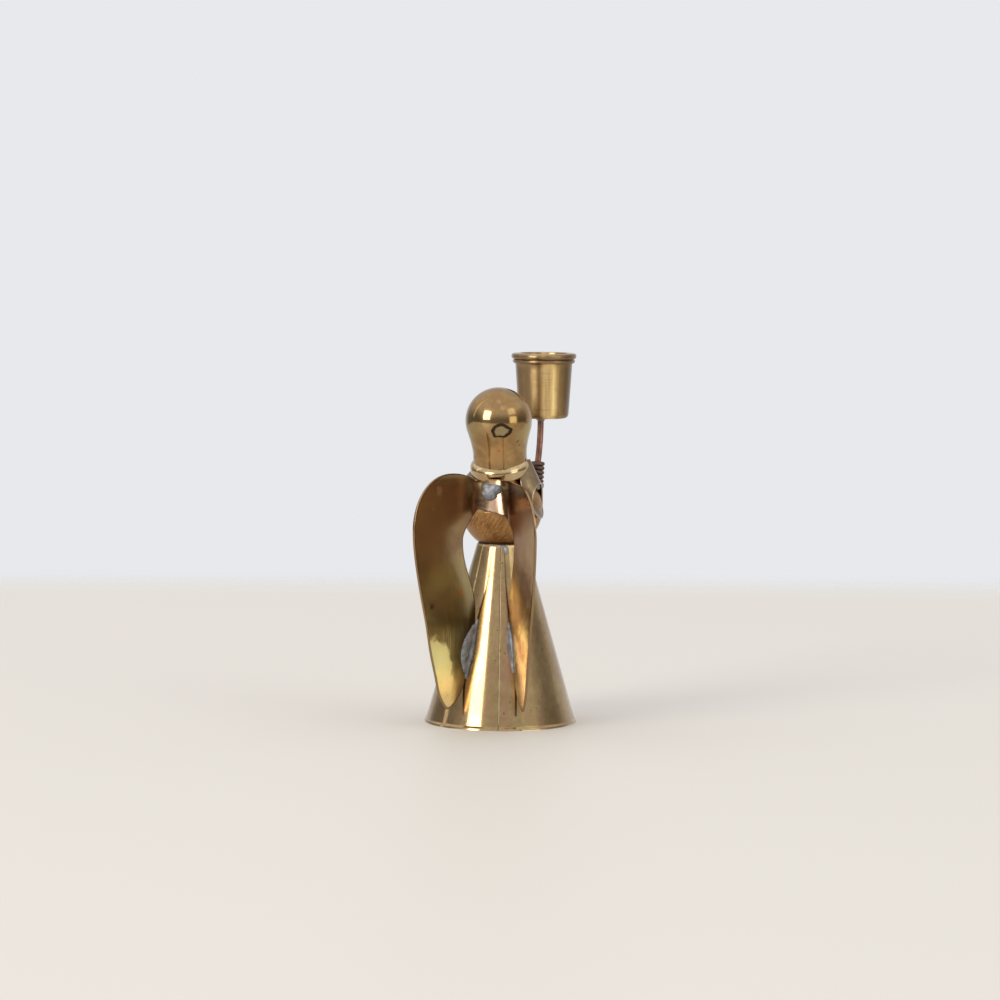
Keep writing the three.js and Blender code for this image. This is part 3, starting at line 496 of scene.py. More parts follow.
coat(shader, pitted(place, handled, (0.06, 0.04, 0.03), 0.8, 1.3 * mm, 0.12, 0.16),
     added(0.06, (clouds["Cover"], 0.06), (marks["Wear"], 0.06)), marks["Marks"], 0.05, 0.04 * mm)


def bulb_side(radius, neck_radius, steps):
    """From the foot of the neck up its blend and over the bulb to the crown."""
    shoulder = Vector((radius * cos(taper), bulb_middle - radius * sin(taper)))
    bend = Vector((neck_radius, shoulder.y - (shoulder.x - neck_radius) / tan(taper)))
    foot = bend - Vector((0, neck_blend))
    side = [(neck_radius, collar_top - neck_insert)]
    for i in range(steps + 1):
        t = i / steps
        side.append(tuple(foot * (1 - t) ** 2 + bend * 2 * t * (1 - t) + shoulder * t ** 2))
    for i in range(1, 2 * steps + 1):
        angle = -taper + (pi / 2 + taper) * i / (2 * steps)
        side.append((radius * cos(angle) if i < 2 * steps else 0, bulb_middle + radius * sin(angle)))
    return side


bm = spun(bulb_side(bulb - sheet, neck - sheet, 14)[::-1] + bulb_side(bulb, neck, 22), 160)
round_edges(bm, 0.12 * mm)
bmesh.ops.transform(bm, matrix=lean, verts=bm.verts[:])
head = made(bm, "head_bulb", spun_brass)
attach(head, "root")
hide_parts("head")


# Scar on the back of the head: a thin, flat smear of old solder that has set on the bulb.
# It is dished and dull, and ringed with flux that the torch has burnt black.
scar_size = (3.3, 0.5, 2.1)
scar_solder, tree, shader, place = new_finish("scar_solder", Metallic=1.0)
rim = put(tree, "Attribute", attribute_name="rim").outputs["Fac"]
ragged = noisy(place, 480.0)
burnt = spread(added(rim, (ragged, 0.5)), 0.82, 1.0)
smeared = mixed(ragged, (0.22, 0.15, 0.08), (0.45, 0.35, 0.19))
coat(shader, mixed(burnt, smeared, (0.05, 0.03, 0.015)), spread(burnt, 0, 1, 0.34, 0.6),
     ragged, 0.4, 0.1 * mm)

bm = bmesh.new()
bmesh.ops.create_icosphere(bm, subdivisions=5, radius=1)
layer = bm.verts.layers.float.new("rim")
for vert in bm.verts:
    turn = atan2(vert.co.z, vert.co.x)
    wavy = 1 + 0.24 * noise.noise(Vector((cos(turn), sin(turn), 0)) * 1.6)
    vert[layer] = hypot(vert.co.x, vert.co.z)
    dish = 1 - 0.35 * sqrt(max(0, 1 - vert[layer]))
    vert.co = vert.co * Vector((wavy, dish, wavy)) * Vector(scar_size) * mm
lumpy(bm, 0.14 * mm, 0.9 * mm, 21)
spot = (lean @ Matrix.Translation((0, 0, bulb_middle)) @ Matrix.Rotation(radians(16), 4, "Z")
        @ Matrix.Rotation(radians(-6), 4, "X") @ Matrix.Translation((0, bulb - 0.08 * mm, 0)))
bmesh.ops.transform(bm, matrix=spot, verts=bm.verts[:])
scar = made(bm, "head_scar", scar_solder)
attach(scar, "root")
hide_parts("head_solder_scar")


# Wings: one sheet of brass, cut out with shears and folded back at both ends of the strap that
# lies across the ball. The inner edges are trimmed to the skirt, and the torch has coloured it.
wing_sheet = 0.7 * mm
strap_half, strap_down = 4.7 * mm, {1: -2.8, -1: -4.8}
strap_y = ball + gap + wing_sheet / 2
strap_z = centre.z + 3.6 * mm
strap_tilt = radians(9)
sweep = radians(61)
wing_lean = {1: 0, -1: radians(1.3)}
fold_radius = 5.4 * mm
fold_half = fold_radius * tan(sweep / 2)
crowns = {1: 8.4, -1: 5.4}
blade_out, notch, waist, belly = 27.9, 6.6, 0.8, 7.0
tip = 6.1 - strap_z / mm
heel = tip + 6.8
longest_snip, shortest_snip = 0.7 * mm, 0.2 * mm
rim_width, grid_margin = 0.3 * mm, 0.7 * mm
wave_height, ripple_height = 0.14 * mm, 0.01 * mm


def eased(value):
    """A number held between 0 and 1, with a slow start and a slow end."""
    value = within(value)
    return value * value * (3 - 2 * value)


def out_along(side):
    """The way out along a blade from its fold."""
    return Vector((side * cos(sweep), sin(sweep), 0))


def facing(side):
    """The way a blade's back faces."""
    return Vector((-side * sin(sweep), cos(sweep), 0))


def twist(side, u, v):
    """How far the left wing's lower end is turned to the back, as it was bent by hand."""
    past = max(0, u - 10 * mm)
    share = eased((-v - 34 * mm) / (14 * mm)) if side == 1 else 0
    return tan(radians(6)) * past * past / (past + 0.8 * mm) * share


def blade_point(side, u, v):
    """Where a point of a flat blade lands: u out from the fold, v above the strap's middle."""
    root = Vector((side * strap_half, strap_y, strap_z + v * cos(wing_lean[side])))
    return root + out_along(side) * u + facing(side) * (v * sin(wing_lean[side]) - twist(side, u, v))


def skirt_reach(side, v):
    """How far out along a blade the skirt's surface is met, at one height."""
    root = blade_point(side, 0, v)
    out = blade_point(side, 1, v) - root
    along = root.x * out.x + root.y * out.y
    away = root.x ** 2 + root.y ** 2 - (skirt_radius(root.z) + 0.1 * mm) ** 2
    return sqrt(along ** 2 - away) - along if root.z < skirt_height else -1.0


def curve(a, b, c, d, steps):
    """Points along a cubic curve."""
    shares = [i / steps for i in range(steps + 1)]
    return [a * (1 - t) ** 3 + b * 3 * t * (1 - t) ** 2 + c * 3 * t ** 2 * (1 - t) + d * t ** 3
            for t in shares]


def blade_edge(side):
    """The blade's outline in the flat, from the strap's top corner round to its lower corner."""
    crown, down = crowns[side], strap_down[side]
    root = [(0, 5), (1.5, 6.2), (5.5, crown)] if side == 1 else [(0, 5.9), (3, 6), (7, crown)]
    edge = []
    for *points, steps in (
            (*root, (12, crown), 20),
            ((12, crown), (21.5, crown), (blade_out, crown - 6.9), (blade_out, -8), 30),
            ((blade_out, -8), (blade_out, -20.5), (19.5, heel + 12.5), (16.6, heel), 50),
            ((16.6, heel), (15.875, heel - 3), (14.3, tip + 1.6), (12.7, tip), 14),
            ((12.7, tip), (belly, tip + 2.5), (waist, -50.5), (waist, -34), 50),
            ((waist, -34), (waist, -25), (notch, -20.8), (notch, -11.8), 24),
            ((notch, -11.8), (notch, -9), (3, down - 3), (0, down), 18)):
        edge += curve(*(Vector(p) * mm for p in points), steps)[1:]
    return [Vector((max(p.x, skirt_reach(side, p.y)), p.y)) for p in edge]


wing_brass, tree, shader, place = new_finish("wing_brass", Metallic=1.0, Specular_Tint=(0.93, 0.81, 0.69))
height = parts_of(place)["Z"]
leftward = spread(parts_of(place)["X"], 2 * mm, 6 * mm)
waver = noisy(place, 130.0, 3.0, 0.5)
clouds = aged(place, (0.45, 0.32, 0.165), (0.36, 0.24, 0.12), 20 * mm, 0.5)
olive = mixed(spread(height, 62 * mm, 40 * mm), clouds["Colour"], (0.4, 0.325, 0.175))
soot = times(leftward, spread(height, 39 * mm, 31 * mm))
sooty = mixed(soot, olive, (0.19, 0.15, 0.068))
cleaner = sums("ADD", height, spread(waver, 0.3, 0.7, -3.2 * mm, 3.2 * mm))
low_down = mixed(spread(cleaner, 24 * mm, 10 * mm), sooty, (0.74, 0.57, 0.3))
outward = measured(place, out_along(1), "DOT_PRODUCT")
fold_at = (figure + blade_point(1, 0, 0)).dot(out_along(1))
wandering = sums("ADD", outward, spread(waver, 0.3, 0.7, 2.5 * mm, -2.5 * mm))
outer = times(spread(wandering, fold_at + 9.5 * mm, fold_at + 11.5 * mm), leftward)
rubbed_and_highlight = mixed(spread(height, 22 * mm, 12 * mm), (0.64, 0.62, 0.34), (0.9, 0.69, 0.32))
bare = mixed(times(outer, spread(cleaner, 28.5 * mm, 26.2 * mm)), low_down, rubbed_and_highlight)
marks = use(polish, Place=place, Along=(1, 1, 0.05), Fineness=2200.0)
heated = mixed(spread(marks["Marks"], 0.48, 0.72, 0.0, 0.35), bare, (0.62, 0.5, 0.28))
for spot, radius, tint in (
        (Vector((-10, 20, 58)) * mm, 22, (0.28, 0.17, 0.11)),
        (Vector((-8, 17, 70)) * mm, 7, (0.26, 0.14, 0.09)),
        (Vector((0, strap_y, 66 * mm)), 6.5, (0.44, 0.29, 0.2)),
        (Vector((4.2 * mm, strap_y, 67 * mm)), 3, (0.22, 0.12, 0.075)),
        (blade_point(-1, 18 * mm, -24 * mm), 8, (0.16, 0.08, 0.05)),
        (blade_point(-1, 11 * mm, -54 * mm), 16, (0.99, 0.9, 0.66)),
        (blade_point(-1, 16.4 * mm, -38.5 * mm), 5.5, (0.7, 0.68, 0.48)),
        (blade_point(-1, 7 * mm, -33.5 * mm), 9, (0.21, 0.13, 0.08)),
        (blade_point(-1, 13 * mm, -44 * mm), 4, (0.7, 0.44, 0.34)),
        (blade_point(1, 17 * mm, 3.5 * mm), 1.7, (0.56, 0.42, 0.26)),
        (blade_point(1, 19.7 * mm, -1.8 * mm), 0.6, (0.75, 0.62, 0.42)),
        (blade_point(1, 20 * mm, -30.6 * mm), 0.9, (0.16, 0.08, 0.1)),
        (blade_point(1, 7.3 * mm, -27.3 * mm), 1.3, (0.55, 0.28, 0.12))):
    fade = 0.7 if radius < 2 else 0.2
    patch = use(stain, Place=place, Spot=figure + spot, Radius=radius * mm, Ragged=0.4, Fade=fade)["Mask"]
    heated = mixed(patch, heated, tint)
speckled = pitted(place, heated, (0.07, 0.04, 0.03), 0.8, 1.2 * mm, 0.2, 0.18)
# A dark line is painted along the sheet's cut outline as painted shade at its edge; right at the edge the
# bare cut is lighter
from_edge = put(tree, "Attribute", attribute_name="from_edge").outputs["Fac"]
outline_shade = mixed(spread(from_edge, 0.55 * mm, 0.2 * mm, 0.0, 0.8), speckled, (0.13, 0.075, 0.045))
cut = mixed(spread(from_edge, 0.1 * mm, 0.02 * mm), outline_shade, (0.33, 0.21, 0.12))
coat(shader, cut, added(0.1, (clouds["Cover"], 0.08), (marks["Wear"], 0.08)), marks["Marks"], 0.06, 0.04 * mm)

outline = [Vector(p) * mm for p in ((-3, 5.9), (-1.5, 6), (0, 6), (1.5, 5.9), (3, 5.6), (4.7, 5))]
outline += [Vector((strap_half + p.x, p.y)) for p in blade_edge(1)]
outline += [Vector((-strap_half - p.x, p.y)) for p in blade_edge(-1)[::-1]]
outline += [Vector((-4.7, 5.9)) * mm]
snips = []
for a, b in zip(outline, outline[1:] + outline[:1]):
    count = ceil((b - a).length / longest_snip)
    steps = [a.lerp(b, k / count) for k in range(count)]
    snips += [p for p in steps if not snips or (p - snips[-1]).length > shortest_snip]

# The cut edge gets a plain rim, the middle a square grid, and triangles fill the band between them
bm = bmesh.new()
layer = bm.verts.layers.float.new("from_edge")
corners = [bm.verts.new((p.x, 0, p.y)) for p in snips]
edges = [bm.edges.new(pair) for pair in zip(corners, corners[1:] + corners[:1])]
blank = bmesh.ops.contextual_create(bm, geom=edges)["faces"][0]
bmesh.ops.inset_region(bm, faces=[blank], thickness=rim_width, use_boundary=True, use_even_offset=True)
for vert in blank.verts:
    vert[layer] = rim_width
band = blank.edges[:]
bmesh.ops.delete(bm, geom=[blank], context="FACES_ONLY")
cut_line = kdtree.KDTree(len(snips))
for i, p in enumerate(snips):
    cut_line.insert((p.x, 0, p.y), i)
cut_line.balance()
flat = (Matrix.Translation((0, 0, -27.5 * mm)) @ Matrix.Rotation(pi / 2, 4, "X")
        @ Matrix.Diagonal((33.3 * mm, 37 * mm, 1, 1)))
grid = bmesh.ops.create_grid(bm, x_segments=74, y_segments=82, size=1, matrix=flat)["verts"]
for vert in grid:
    spot, i, away = cut_line.find(vert.co)
    ahead = snips[(i + 1) % len(snips)] - snips[i - 1]
    vert[layer] = away if ahead.x * (vert.co.z - spot.z) < ahead.y * (vert.co.x - spot.x) else -away
bmesh.ops.delete(bm, geom=[v for v in grid if v[layer] < grid_margin], context="VERTS")
grid = [v for v in grid if v.is_valid]
spare = [v for v in grid if not v.link_faces or sum(e.is_boundary for e in v.link_edges) > 2]
bmesh.ops.delete(bm, geom=spare, context="VERTS")
band += list({e for v in grid if v.is_valid for e in v.link_edges if e.is_boundary})
bmesh.ops.triangle_fill(bm, edges=band, use_beauty=True, normal=(0, 1, 0))

for vert in bm.verts:
    side = 1 if vert.co.x > 0 else -1
    u, v = abs(vert.co.x) - strap_half, vert.co.z
    below = eased((-v - 5 * mm) / (7 * mm))
    if u > fold_half:
        folded = blade_point(side, u, v)
    elif u < -fold_half:
        folded = Vector((vert.co.x, strap_y, strap_z + v))
    else:
        turn = sweep * (u + fold_half) / (2 * fold_half)
        folded = Vector((side * (strap_half - fold_half + fold_radius * sin(turn)),
                         strap_y + fold_radius * (1 - cos(turn)), strap_z))
        folded += blade_point(side, 0, v) - blade_point(side, 0, 0)
        folded = folded.lerp(blade_point(side, u, v), below)
    level = eased((fold_half - u) / (2 * fold_half))
    vert.co = folded - Vector((0, tan(strap_tilt) * v * (1 - below) * level, 0))
bmesh.ops.recalc_face_normals(bm, faces=bm.faces[:])
bm.normal_update()
if sum((f.normal.y for f in bm.faces if abs(f.calc_center_median().x) < strap_half / 2), 0.0) < 0:
    bmesh.ops.reverse_faces(bm, faces=bm.faces[:])
bm.normal_update()
for vert in bm.verts:
    wave = noise.noise(vert.co / (17 * mm)) * wave_height + noise.noise(vert.co / (6 * mm)) * ripple_height
    vert.co += vert.normal * (wing_sheet / 2 + wave * within((abs(vert.co.x) - strap_half) / (6 * mm)))
bmesh.ops.solidify(bm, geom=bm.faces[:], thickness=wing_sheet)
round_edges(bm, 0.06 * mm, least=70)
wings = made(bm, "wing_sheet", wing_brass, figure)
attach(wings, "root")
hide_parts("wings")


# Solder on the wings: a lump on the strap, and a bead down the corner where each wing meets the
# skirt, with a drip at the waist. Grey and rough, put on in blobs with an iron.
def lumps(name, lobes, turn=0):
    """Solder in run-together lobes, each a middle in the figure's frame and three half-widths in mm."""
    bm = bmesh.new()
    for middle, size in lobes:
        spot = (Matrix.Translation(middle) @ Matrix.Rotation(turn, 4, "Z")
                @ Matrix.Diagonal((*(Vector(size) * mm), 1)))
        bmesh.ops.create_icosphere(bm, subdivisions=4, radius=1, matrix=spot)
    piece = made(bm, name, solder, figure)
    melt = piece.modifiers.new("melt", "REMESH")
    melt.mode, melt.voxel_size, melt.use_smooth_shade = "VOXEL", 0.16 * mm, True
    settle = piece.modifiers.new("settle", "SMOOTH")
    settle.factor, settle.iterations = 0.5, 5
    skin = bpy.data.textures.new(name + "_skin", "CLOUDS")
    skin.noise_scale, skin.noise_depth = 1.1 * mm, 2
    wrinkle = piece.modifiers.new("wrinkle", "DISPLACE")
    wrinkle.texture, wrinkle.texture_coords = skin, "LOCAL"
    wrinkle.strength, wrinkle.mid_level = 0.35 * mm, 0.5
    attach(piece, "root")
    return piece


strap_back = Vector((0, strap_y + wing_sheet / 2, strap_z))
bridge = lumps("bridge_solder", [
    (strap_back + Vector((0.9, 0, 1.9)) * mm, (2.3, 0.9, 2.2)),
    (strap_back + Vector((-0.9, -0.1, 3.2)) * mm, (2.1, 0.9, 1.5)),
    (strap_back + Vector((1.6, -0.3, 3.6)) * mm, (1.6, 1.0, 1.3)),
    (strap_back + Vector((0.4, -1.5, 2.6)) * mm, (1.8, 1.3, 1.2)),
])
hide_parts("wing_bridge_solder")

for side, name, node, bottom, top, fullest, broad in (
        (1, "left_wing_bead", "left_wing_solder", 15.5, 31.5, 0.5, 2.2),
        (-1, "right_wing_bead", "right_wing_solder", 17.5, 30.5, 0.6, 0.7)):
    out, back = out_along(side), facing(side)
    lobes = []
    for i in range(19):
        t = i / 18
        v = (bottom + (top - bottom) * t) * mm - strap_z
        swell = sin(pi * t ** (log(0.5) / log(fullest)))
        corner = blade_point(side, skirt_reach(side, v), v) + back * (wing_sheet / 2 + 0.1 * mm)
        lobes.append((corner, (0.55 + 0.7 * swell, 0.5 + 0.5 * swell, 0.95)))
        if swell > 0.3:
            lobes.append((corner + out * broad * swell * 0.8 * mm,
                          (0.6 + broad * swell, 0.35 + 0.3 * swell, 1.1)))
        if side == -1 and swell > 0.8:
            lobes.append((corner - out * mm + back * 0.7 * mm, (1.3, 0.6, 0.7)))
    bead = lumps(name, lobes, atan2(out.y, out.x))
    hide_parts(node)

drip_turn = radians(22)
drip_way = Vector((-sin(drip_turn), cos(drip_turn), 0))
drip = lumps("waist_drip", [
    (drip_way * (skirt_radius(52.4 * mm) + 0.1 * mm) + Vector((0, 0, 52.4)) * mm, (0.75, 0.5, 1.2)),
    (drip_way * (skirt_radius(53.5 * mm) + 0.1 * mm) + Vector((0.7, 0, 53.6)) * mm, (1.0, 0.5, 0.45)),
])
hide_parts("waist_drip_solder")


# Sleeves: a slanting cone of thin sheet at each shoulder, wide open to the side. Each is cut to
# the ball and tucked under the collar, and the arm wire passes out through its front wall.
sleeve_wall = 0.45 * mm
sleeve_top = Vector((collar_bulge - 0.4 * mm, 1 * mm, centre.z + collar_top - 1 * mm))
sleeve_mouth = Vector((ball + 0.1 * mm, 2 * mm, centre.z + 2.6 * mm))
top_radius, mouth_radius = 1.5 * mm, 5.3 * mm
left_drop = Vector((1.2, 0, 1.6)) * mm
sleeve_turn = radians(5)
sleeve_rings = 32

sleeve_brass, tree, shader, place = new_finish("sleeve_brass", Metallic=1.0)
clouds = aged(place, (0.27, 0.205, 0.12), (0.17, 0.115, 0.065), 7 * mm, 0.5)
marks = use(polish, Place=place, Along=(1, 1, 0.15), Fineness=2600.0)
along = put(tree, "Attribute", attribute_name="along").outputs["Fac"]
# Towards the mouth the sleeve is lighter: bare brass at the cut rim, and a painted highlight along it
rim_wear_and_highlight = mixed(spread(along, 0.95, 0.99, 0.0, 0.8), clouds["Colour"], (0.5, 0.39, 0.23))
coat(shader, rim_wear_and_highlight, added(0.16, (marks["Wear"], 0.2)), marks["Marks"], 0.12, 0.04 * mm)

for side, name, node in ((1, "left_sleeve_cone", "left_sleeve"), (-1, "right_sleeve_cone", "right_sleeve")):
    across = Vector((-side * sin(sleeve_turn), cos(sleeve_turn), 0))
    up = Vector((0, 0, 1))
    standing = Matrix((across, up, across.cross(up))).transposed().to_4x4()
    bm = bmesh.new()
    layer = bm.verts.layers.float.new("along")
    loop = []
    for i in range(sleeve_rings + 1):
        t = i / sleeve_rings
        middle = sleeve_top.lerp(sleeve_mouth, t)
        if side == 1:
            middle -= left_drop * (1 - t)
        middle.x *= side
        wide = (2.4 + 9.5 * t - 6.6 * t * t) * mm
        tall = top_radius + (mouth_radius - top_radius) * t
        wrap = (0.8 + 8 * t * (1 - t)) * mm
        spot = Matrix.Translation(middle) @ standing @ Matrix.Diagonal((wide, tall, 1, 1))
        ring = bmesh.ops.create_circle(bm, cap_ends=False, segments=96, radius=1, matrix=spot)["verts"]
        for vert in ring:
            vert.co.x -= side * wrap * ((vert.co - middle).dot(across) / wide) ** 2
            vert[layer] = t
        edges = list({e for v in ring for e in v.link_edges})
        if loop:
            bmesh.ops.bridge_loops(bm, edges=loop + edges)
        loop = edges
    sunk = [f for f in bm.faces if all((v.co - centre).length < ball - 0.4 * mm for v in f.verts)]
    bmesh.ops.delete(bm, geom=sunk, context="FACES")
    pinched = {f for v in bm.verts if sum(e.is_boundary for e in v.link_edges) > 2 for f in v.link_faces}
    bmesh.ops.delete(bm, geom=list(pinched), context="FACES")
    bmesh.ops.delete(bm, geom=[v for v in bm.verts if not v.link_faces], context="VERTS")
    bmesh.ops.recalc_face_normals(bm, faces=bm.faces[:])
    bm.normal_update()
    axis = Vector((0, 1.5, 70)) * mm
    if sum((f.normal.dot((f.calc_center_median() - axis) * Vector((0, 1, 1))) for f in bm.faces), 0.0) < 0:
        bmesh.ops.reverse_faces(bm, faces=bm.faces[:])
    bmesh.ops.solidify(bm, geom=bm.faces[:], thickness=sleeve_wall)
    mouth = [e for e in bm.edges if min(v[layer] for v in e.verts) > 0.99]
    round_edges(bm, 0.08 * mm, least=60, among=mouth)
    sleeve = made(bm, name, sleeve_brass, figure)
    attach(sleeve, "root")
    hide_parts(node)


# Stem: a stiff length of copper wire that carries the cup and runs down through the hands.
# It was cut with side cutters and is dull red-brown all over.
stem_radius, stem_lean, stem_tail, stem_bow = 0.95 * mm, radians(3.3), 1.2 * mm, 0.22 * mm
stem_axis = Vector((-sin(stem_lean), 0, cos(stem_lean)))
stem_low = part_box("candle_stem")[0].z
hands = Vector((-6.3 * mm, -22 * mm, centre.z + 12.4 * mm))
winding_pitch, winding_turns = 1.34 * mm, 4.72
cup_low, cup_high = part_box("candle_cup")
reach_up = (cup_low.z - hands.z) / stem_axis.z
reach_down = winding_turns * winding_pitch + stem_tail

copper, tree, shader, place = new_finish("copper_wire", Metallic=1.0)
clouds = aged(place, (0.52, 0.25, 0.18), (0.24, 0.13, 0.1), 4 * mm, 0.45)
marks = use(polish, Place=place, Along=(1, 1, 0.12), Fineness=3200.0)
at_end = spread(parts_of(place)["Z"], stem_low + 0.7 * mm, stem_low + 0.2 * mm, 0.0, 0.8)
coat(shader, mixed(at_end, clouds["Colour"], (0.68, 0.36, 0.25)),
     added(0.26, (clouds["Cover"], 0.3)), marks["Marks"], 0.2, 0.05 * mm)

path = []
for i in range(41):
    along = -reach_down + (reach_up + reach_down) * i / 40
    bow = stem_bow * sin(pi * max(0, along) / reach_up)
    path.append(hands + stem_axis * along + Vector((-bow, 0, 0)))
bm = drawn(path, 32, stem_radius)
round_edges(bm, 0.2 * mm, least=60)
stem = made(bm, "stem_wire", copper, figure)
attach(stem, "root")
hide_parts("candle_stem")


# Arm wire: one length of thin copper wire. It comes out of the left sleeve, is wound tightly round
# the stem as the hands, and goes back into the right sleeve. The torch has blackened it.
arm_radius = 0.64 * mm
arm_inset, arm_back, arm_straight = 1.2 * mm, 1.5 * mm, 2.2 * mm
winding_radius = stem_radius + arm_radius - 0.05 * mm
arm_copper, tree, shader, place = new_finish("arm_copper", Metallic=1.0)
clouds = aged(place, (0.46, 0.27, 0.2), (0.16, 0.1, 0.08), 3 * mm, 0.6)
crust = noisy(place, 2400.0)
fresh = mixed(spread(crust, 0.58, 0.72, 0.0, 0.6), clouds["Colour"], (0.5, 0.3, 0.22))
coat(shader, fresh, added(0.32, (clouds["Cover"], 0.3)), crust, 0.35, 0.08 * mm)


def arm_end(side):
    """Where an arm stops in its sleeve, where it passes the sleeve's wall, and where it starts to bend."""
    across = sleeve_mouth.x - arm_inset
    rise = centre.z + sqrt((ball + gap + arm_radius) ** 2 - across ** 2)
    share = (across - sleeve_top.x) / (sleeve_mouth.x - sleeve_top.x)
    middle = sleeve_top.lerp(sleeve_mouth, share)
    size = top_radius + (mouth_radius - top_radius) * share
    front = middle.y - sqrt(size ** 2 - (rise - middle.z) ** 2)
    gate = Vector((side * across, front, rise))
    return Vector((side * across, arm_back, rise)), gate, gate - Vector((0, arm_straight, 0))


def wound(angle, first):
    """A point of the winding, which sinks by its pitch with each turn."""
    sunk = -winding_pitch * (angle - first) / tau
    lean_turn = Matrix.Rotation(-stem_lean, 3, "Y")
    return hands + lean_turn @ Vector((winding_radius * cos(angle), winding_radius * sin(angle), sunk))


def forearm(bend, wrist, heading):
    """The wire from where it bends in front of a sleeve to where it meets the winding."""
    return curve(bend, bend - Vector((0, 6 * mm, 0)), wrist - heading * 7 * mm, wrist, 40)[:-1]


left_end, left_gate, left_bend = arm_end(1)
right_end, right_gate, right_bend = arm_end(-1)
first = atan2(-(hands - left_bend).x, (hands - left_bend).y)
leave = atan2(-(right_bend - hands).x, (right_bend - hands).y)
last = first + (leave - first) % tau + 4 * tau
steps = round((last - first) / tau * 60)
winding = [wound(first + (last - first) * i / steps, first) for i in range(steps + 1)]
heading = (winding[1] - winding[0]).normalized()
leaving = (winding[-2] - winding[-1]).normalized()
path = [left_end.lerp(left_bend, i / 8) for i in range(8)]
path += forearm(left_bend, winding[0], heading) + winding + forearm(right_bend, winding[-1], leaving)[::-1]
path += [right_bend.lerp(right_end, i / 8) for i in range(1, 9)]
bm = drawn(path, 18, arm_radius)
round_edges(bm, 0.1 * mm, least=60)
arms = made(bm, "arm_winding", arm_copper, figure)
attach(arms, "root")
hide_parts("arm_wire")


# Solder at the sleeves: a lump inside each holds the wire's end to the ball, and a ring
# closes the hole in the front wall that the wire comes out of.
for word, end, gate in (("left", left_end, left_gate), ("right", right_end, right_gate)):
    above = (end + Vector((0, 0, 1.5 * mm)) - centre).normalized()
    inner_lump = lumps(word + "_shoulder_lump", [
        (centre + above * (ball + 0.5 * mm), (1.3, 1.5, 1.5)),
        (end.lerp(gate, 0.1), (0.9, 1.2, 0.9)),
    ])
    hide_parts(word + "_shoulder_solder")
    outer_ring = lumps(word + "_arm_ring", [
        (gate + Vector((0, -0.25, 0)) * mm, (1.2, 0.6, 1.2)),
        (gate + Vector((0, -0.7, 0.1)) * mm, (0.85, 0.5, 0.85)),
    ])
    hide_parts(word + "_arm_solder")


# Candle cup: turned from brass bar, with a stepped bead round the rim and a tapered bore for a thin
# candle. The tool left fine rings all over it. It is soldered on the top of the stem. The back is
# coloured at fixed places across the view: a bright band that is partly rubbed and partly a painted
# highlight, and brown to both sides of it, which is painted shade.
cup_middle = Vector(((cup_low.x + cup_high.x) / 2, (cup_low.y + cup_high.y) / 2, cup_low.z))
# The camera's left-right direction, along which the cup's painted highlight and painted shade are laid out
painted_light_across = (-0.976, -0.216, 0)


def arc(middle, size, turns):
    """Points of a rounded corner, from its middle, its two half-widths and the degrees turned."""
    return [(middle[0] + size[0] * cos(radians(a)), middle[1] + size[1] * sin(radians(a)))
            for a in turns]


profile = [(0, 0), (6.3, 0)] + arc((6.3, 1.4), (1.4, 1.4), range(-80, 1, 10))
profile += [(7.7 + (z - 1.4) / 15.1, z) for z in (3, 5, 7, 9, 11, 13, 15, 16.5)]
profile += [(8.85, 16.75), (9.2, 16.88)] + arc((9.0, 17.45), (0.55, 0.57), range(-75, 76, 15))
profile += [(9.12, 18.06)] + arc((9.2, 18.98), (0.75, 0.87), range(-80, 91, 10))
profile += [(8.6, 19.9), (7.6, 19.9), (7.35, 19.82), (7.2, 19.6)]
profile += [(7.2 - 0.8 * (19.6 - z) / 18.4, z) for z in (17, 14, 11, 8, 5, 2.5)]
profile += [(6.42, 1.5), (6.25, 1.25), (5.9, 1.2), (3, 1.2), (0, 1.2)]

turned_brass, tree, shader, place = new_finish("turned_brass", Metallic=1.0, Anisotropic=0.9,
                                               Anisotropic_Rotation=0.25)
clouds = aged(place, (0.5, 0.35, 0.165), (0.34, 0.22, 0.095), 10 * mm, 0.45)
marks = use(polish, Place=place, Along=(0.04, 0.04, 1), Fineness=2100.0)["Marks"]
rings = use(polish, Place=place, Along=(0.0, 0.0, 1), Fineness=1500.0)["Marks"]
from_axis = put(tree, "VectorMath", {0: place, 1: tuple(cup_middle)}, operation="SUBTRACT").outputs[0]
streaks = use(polish, Place=from_axis, Along=(1, 1, 0.02), Fineness=700.0)
aside = measured(from_axis, painted_light_across, "DOT_PRODUCT")
up_cup = parts_of(from_axis)["Z"]
# A bright band down the cup: partly rubbed brass and partly a painted highlight standing in for a window's
# reflection
from_band = sums("ABSOLUTE", sums("SUBTRACT", aside, 1.2 * mm))
rubbed_and_highlight = times(spread(from_band, 3.0 * mm, 1.2 * mm), spread(streaks["Marks"], 0.3, 0.6, 0.5, 1.0))
at_rim = times(spread(up_cup, 16.7 * mm, 17.2 * mm), spread(streaks["Wear"], 0.35, 0.6, 0.2, 0.85))
tarnish_and_painted_light = clouds["Colour"]
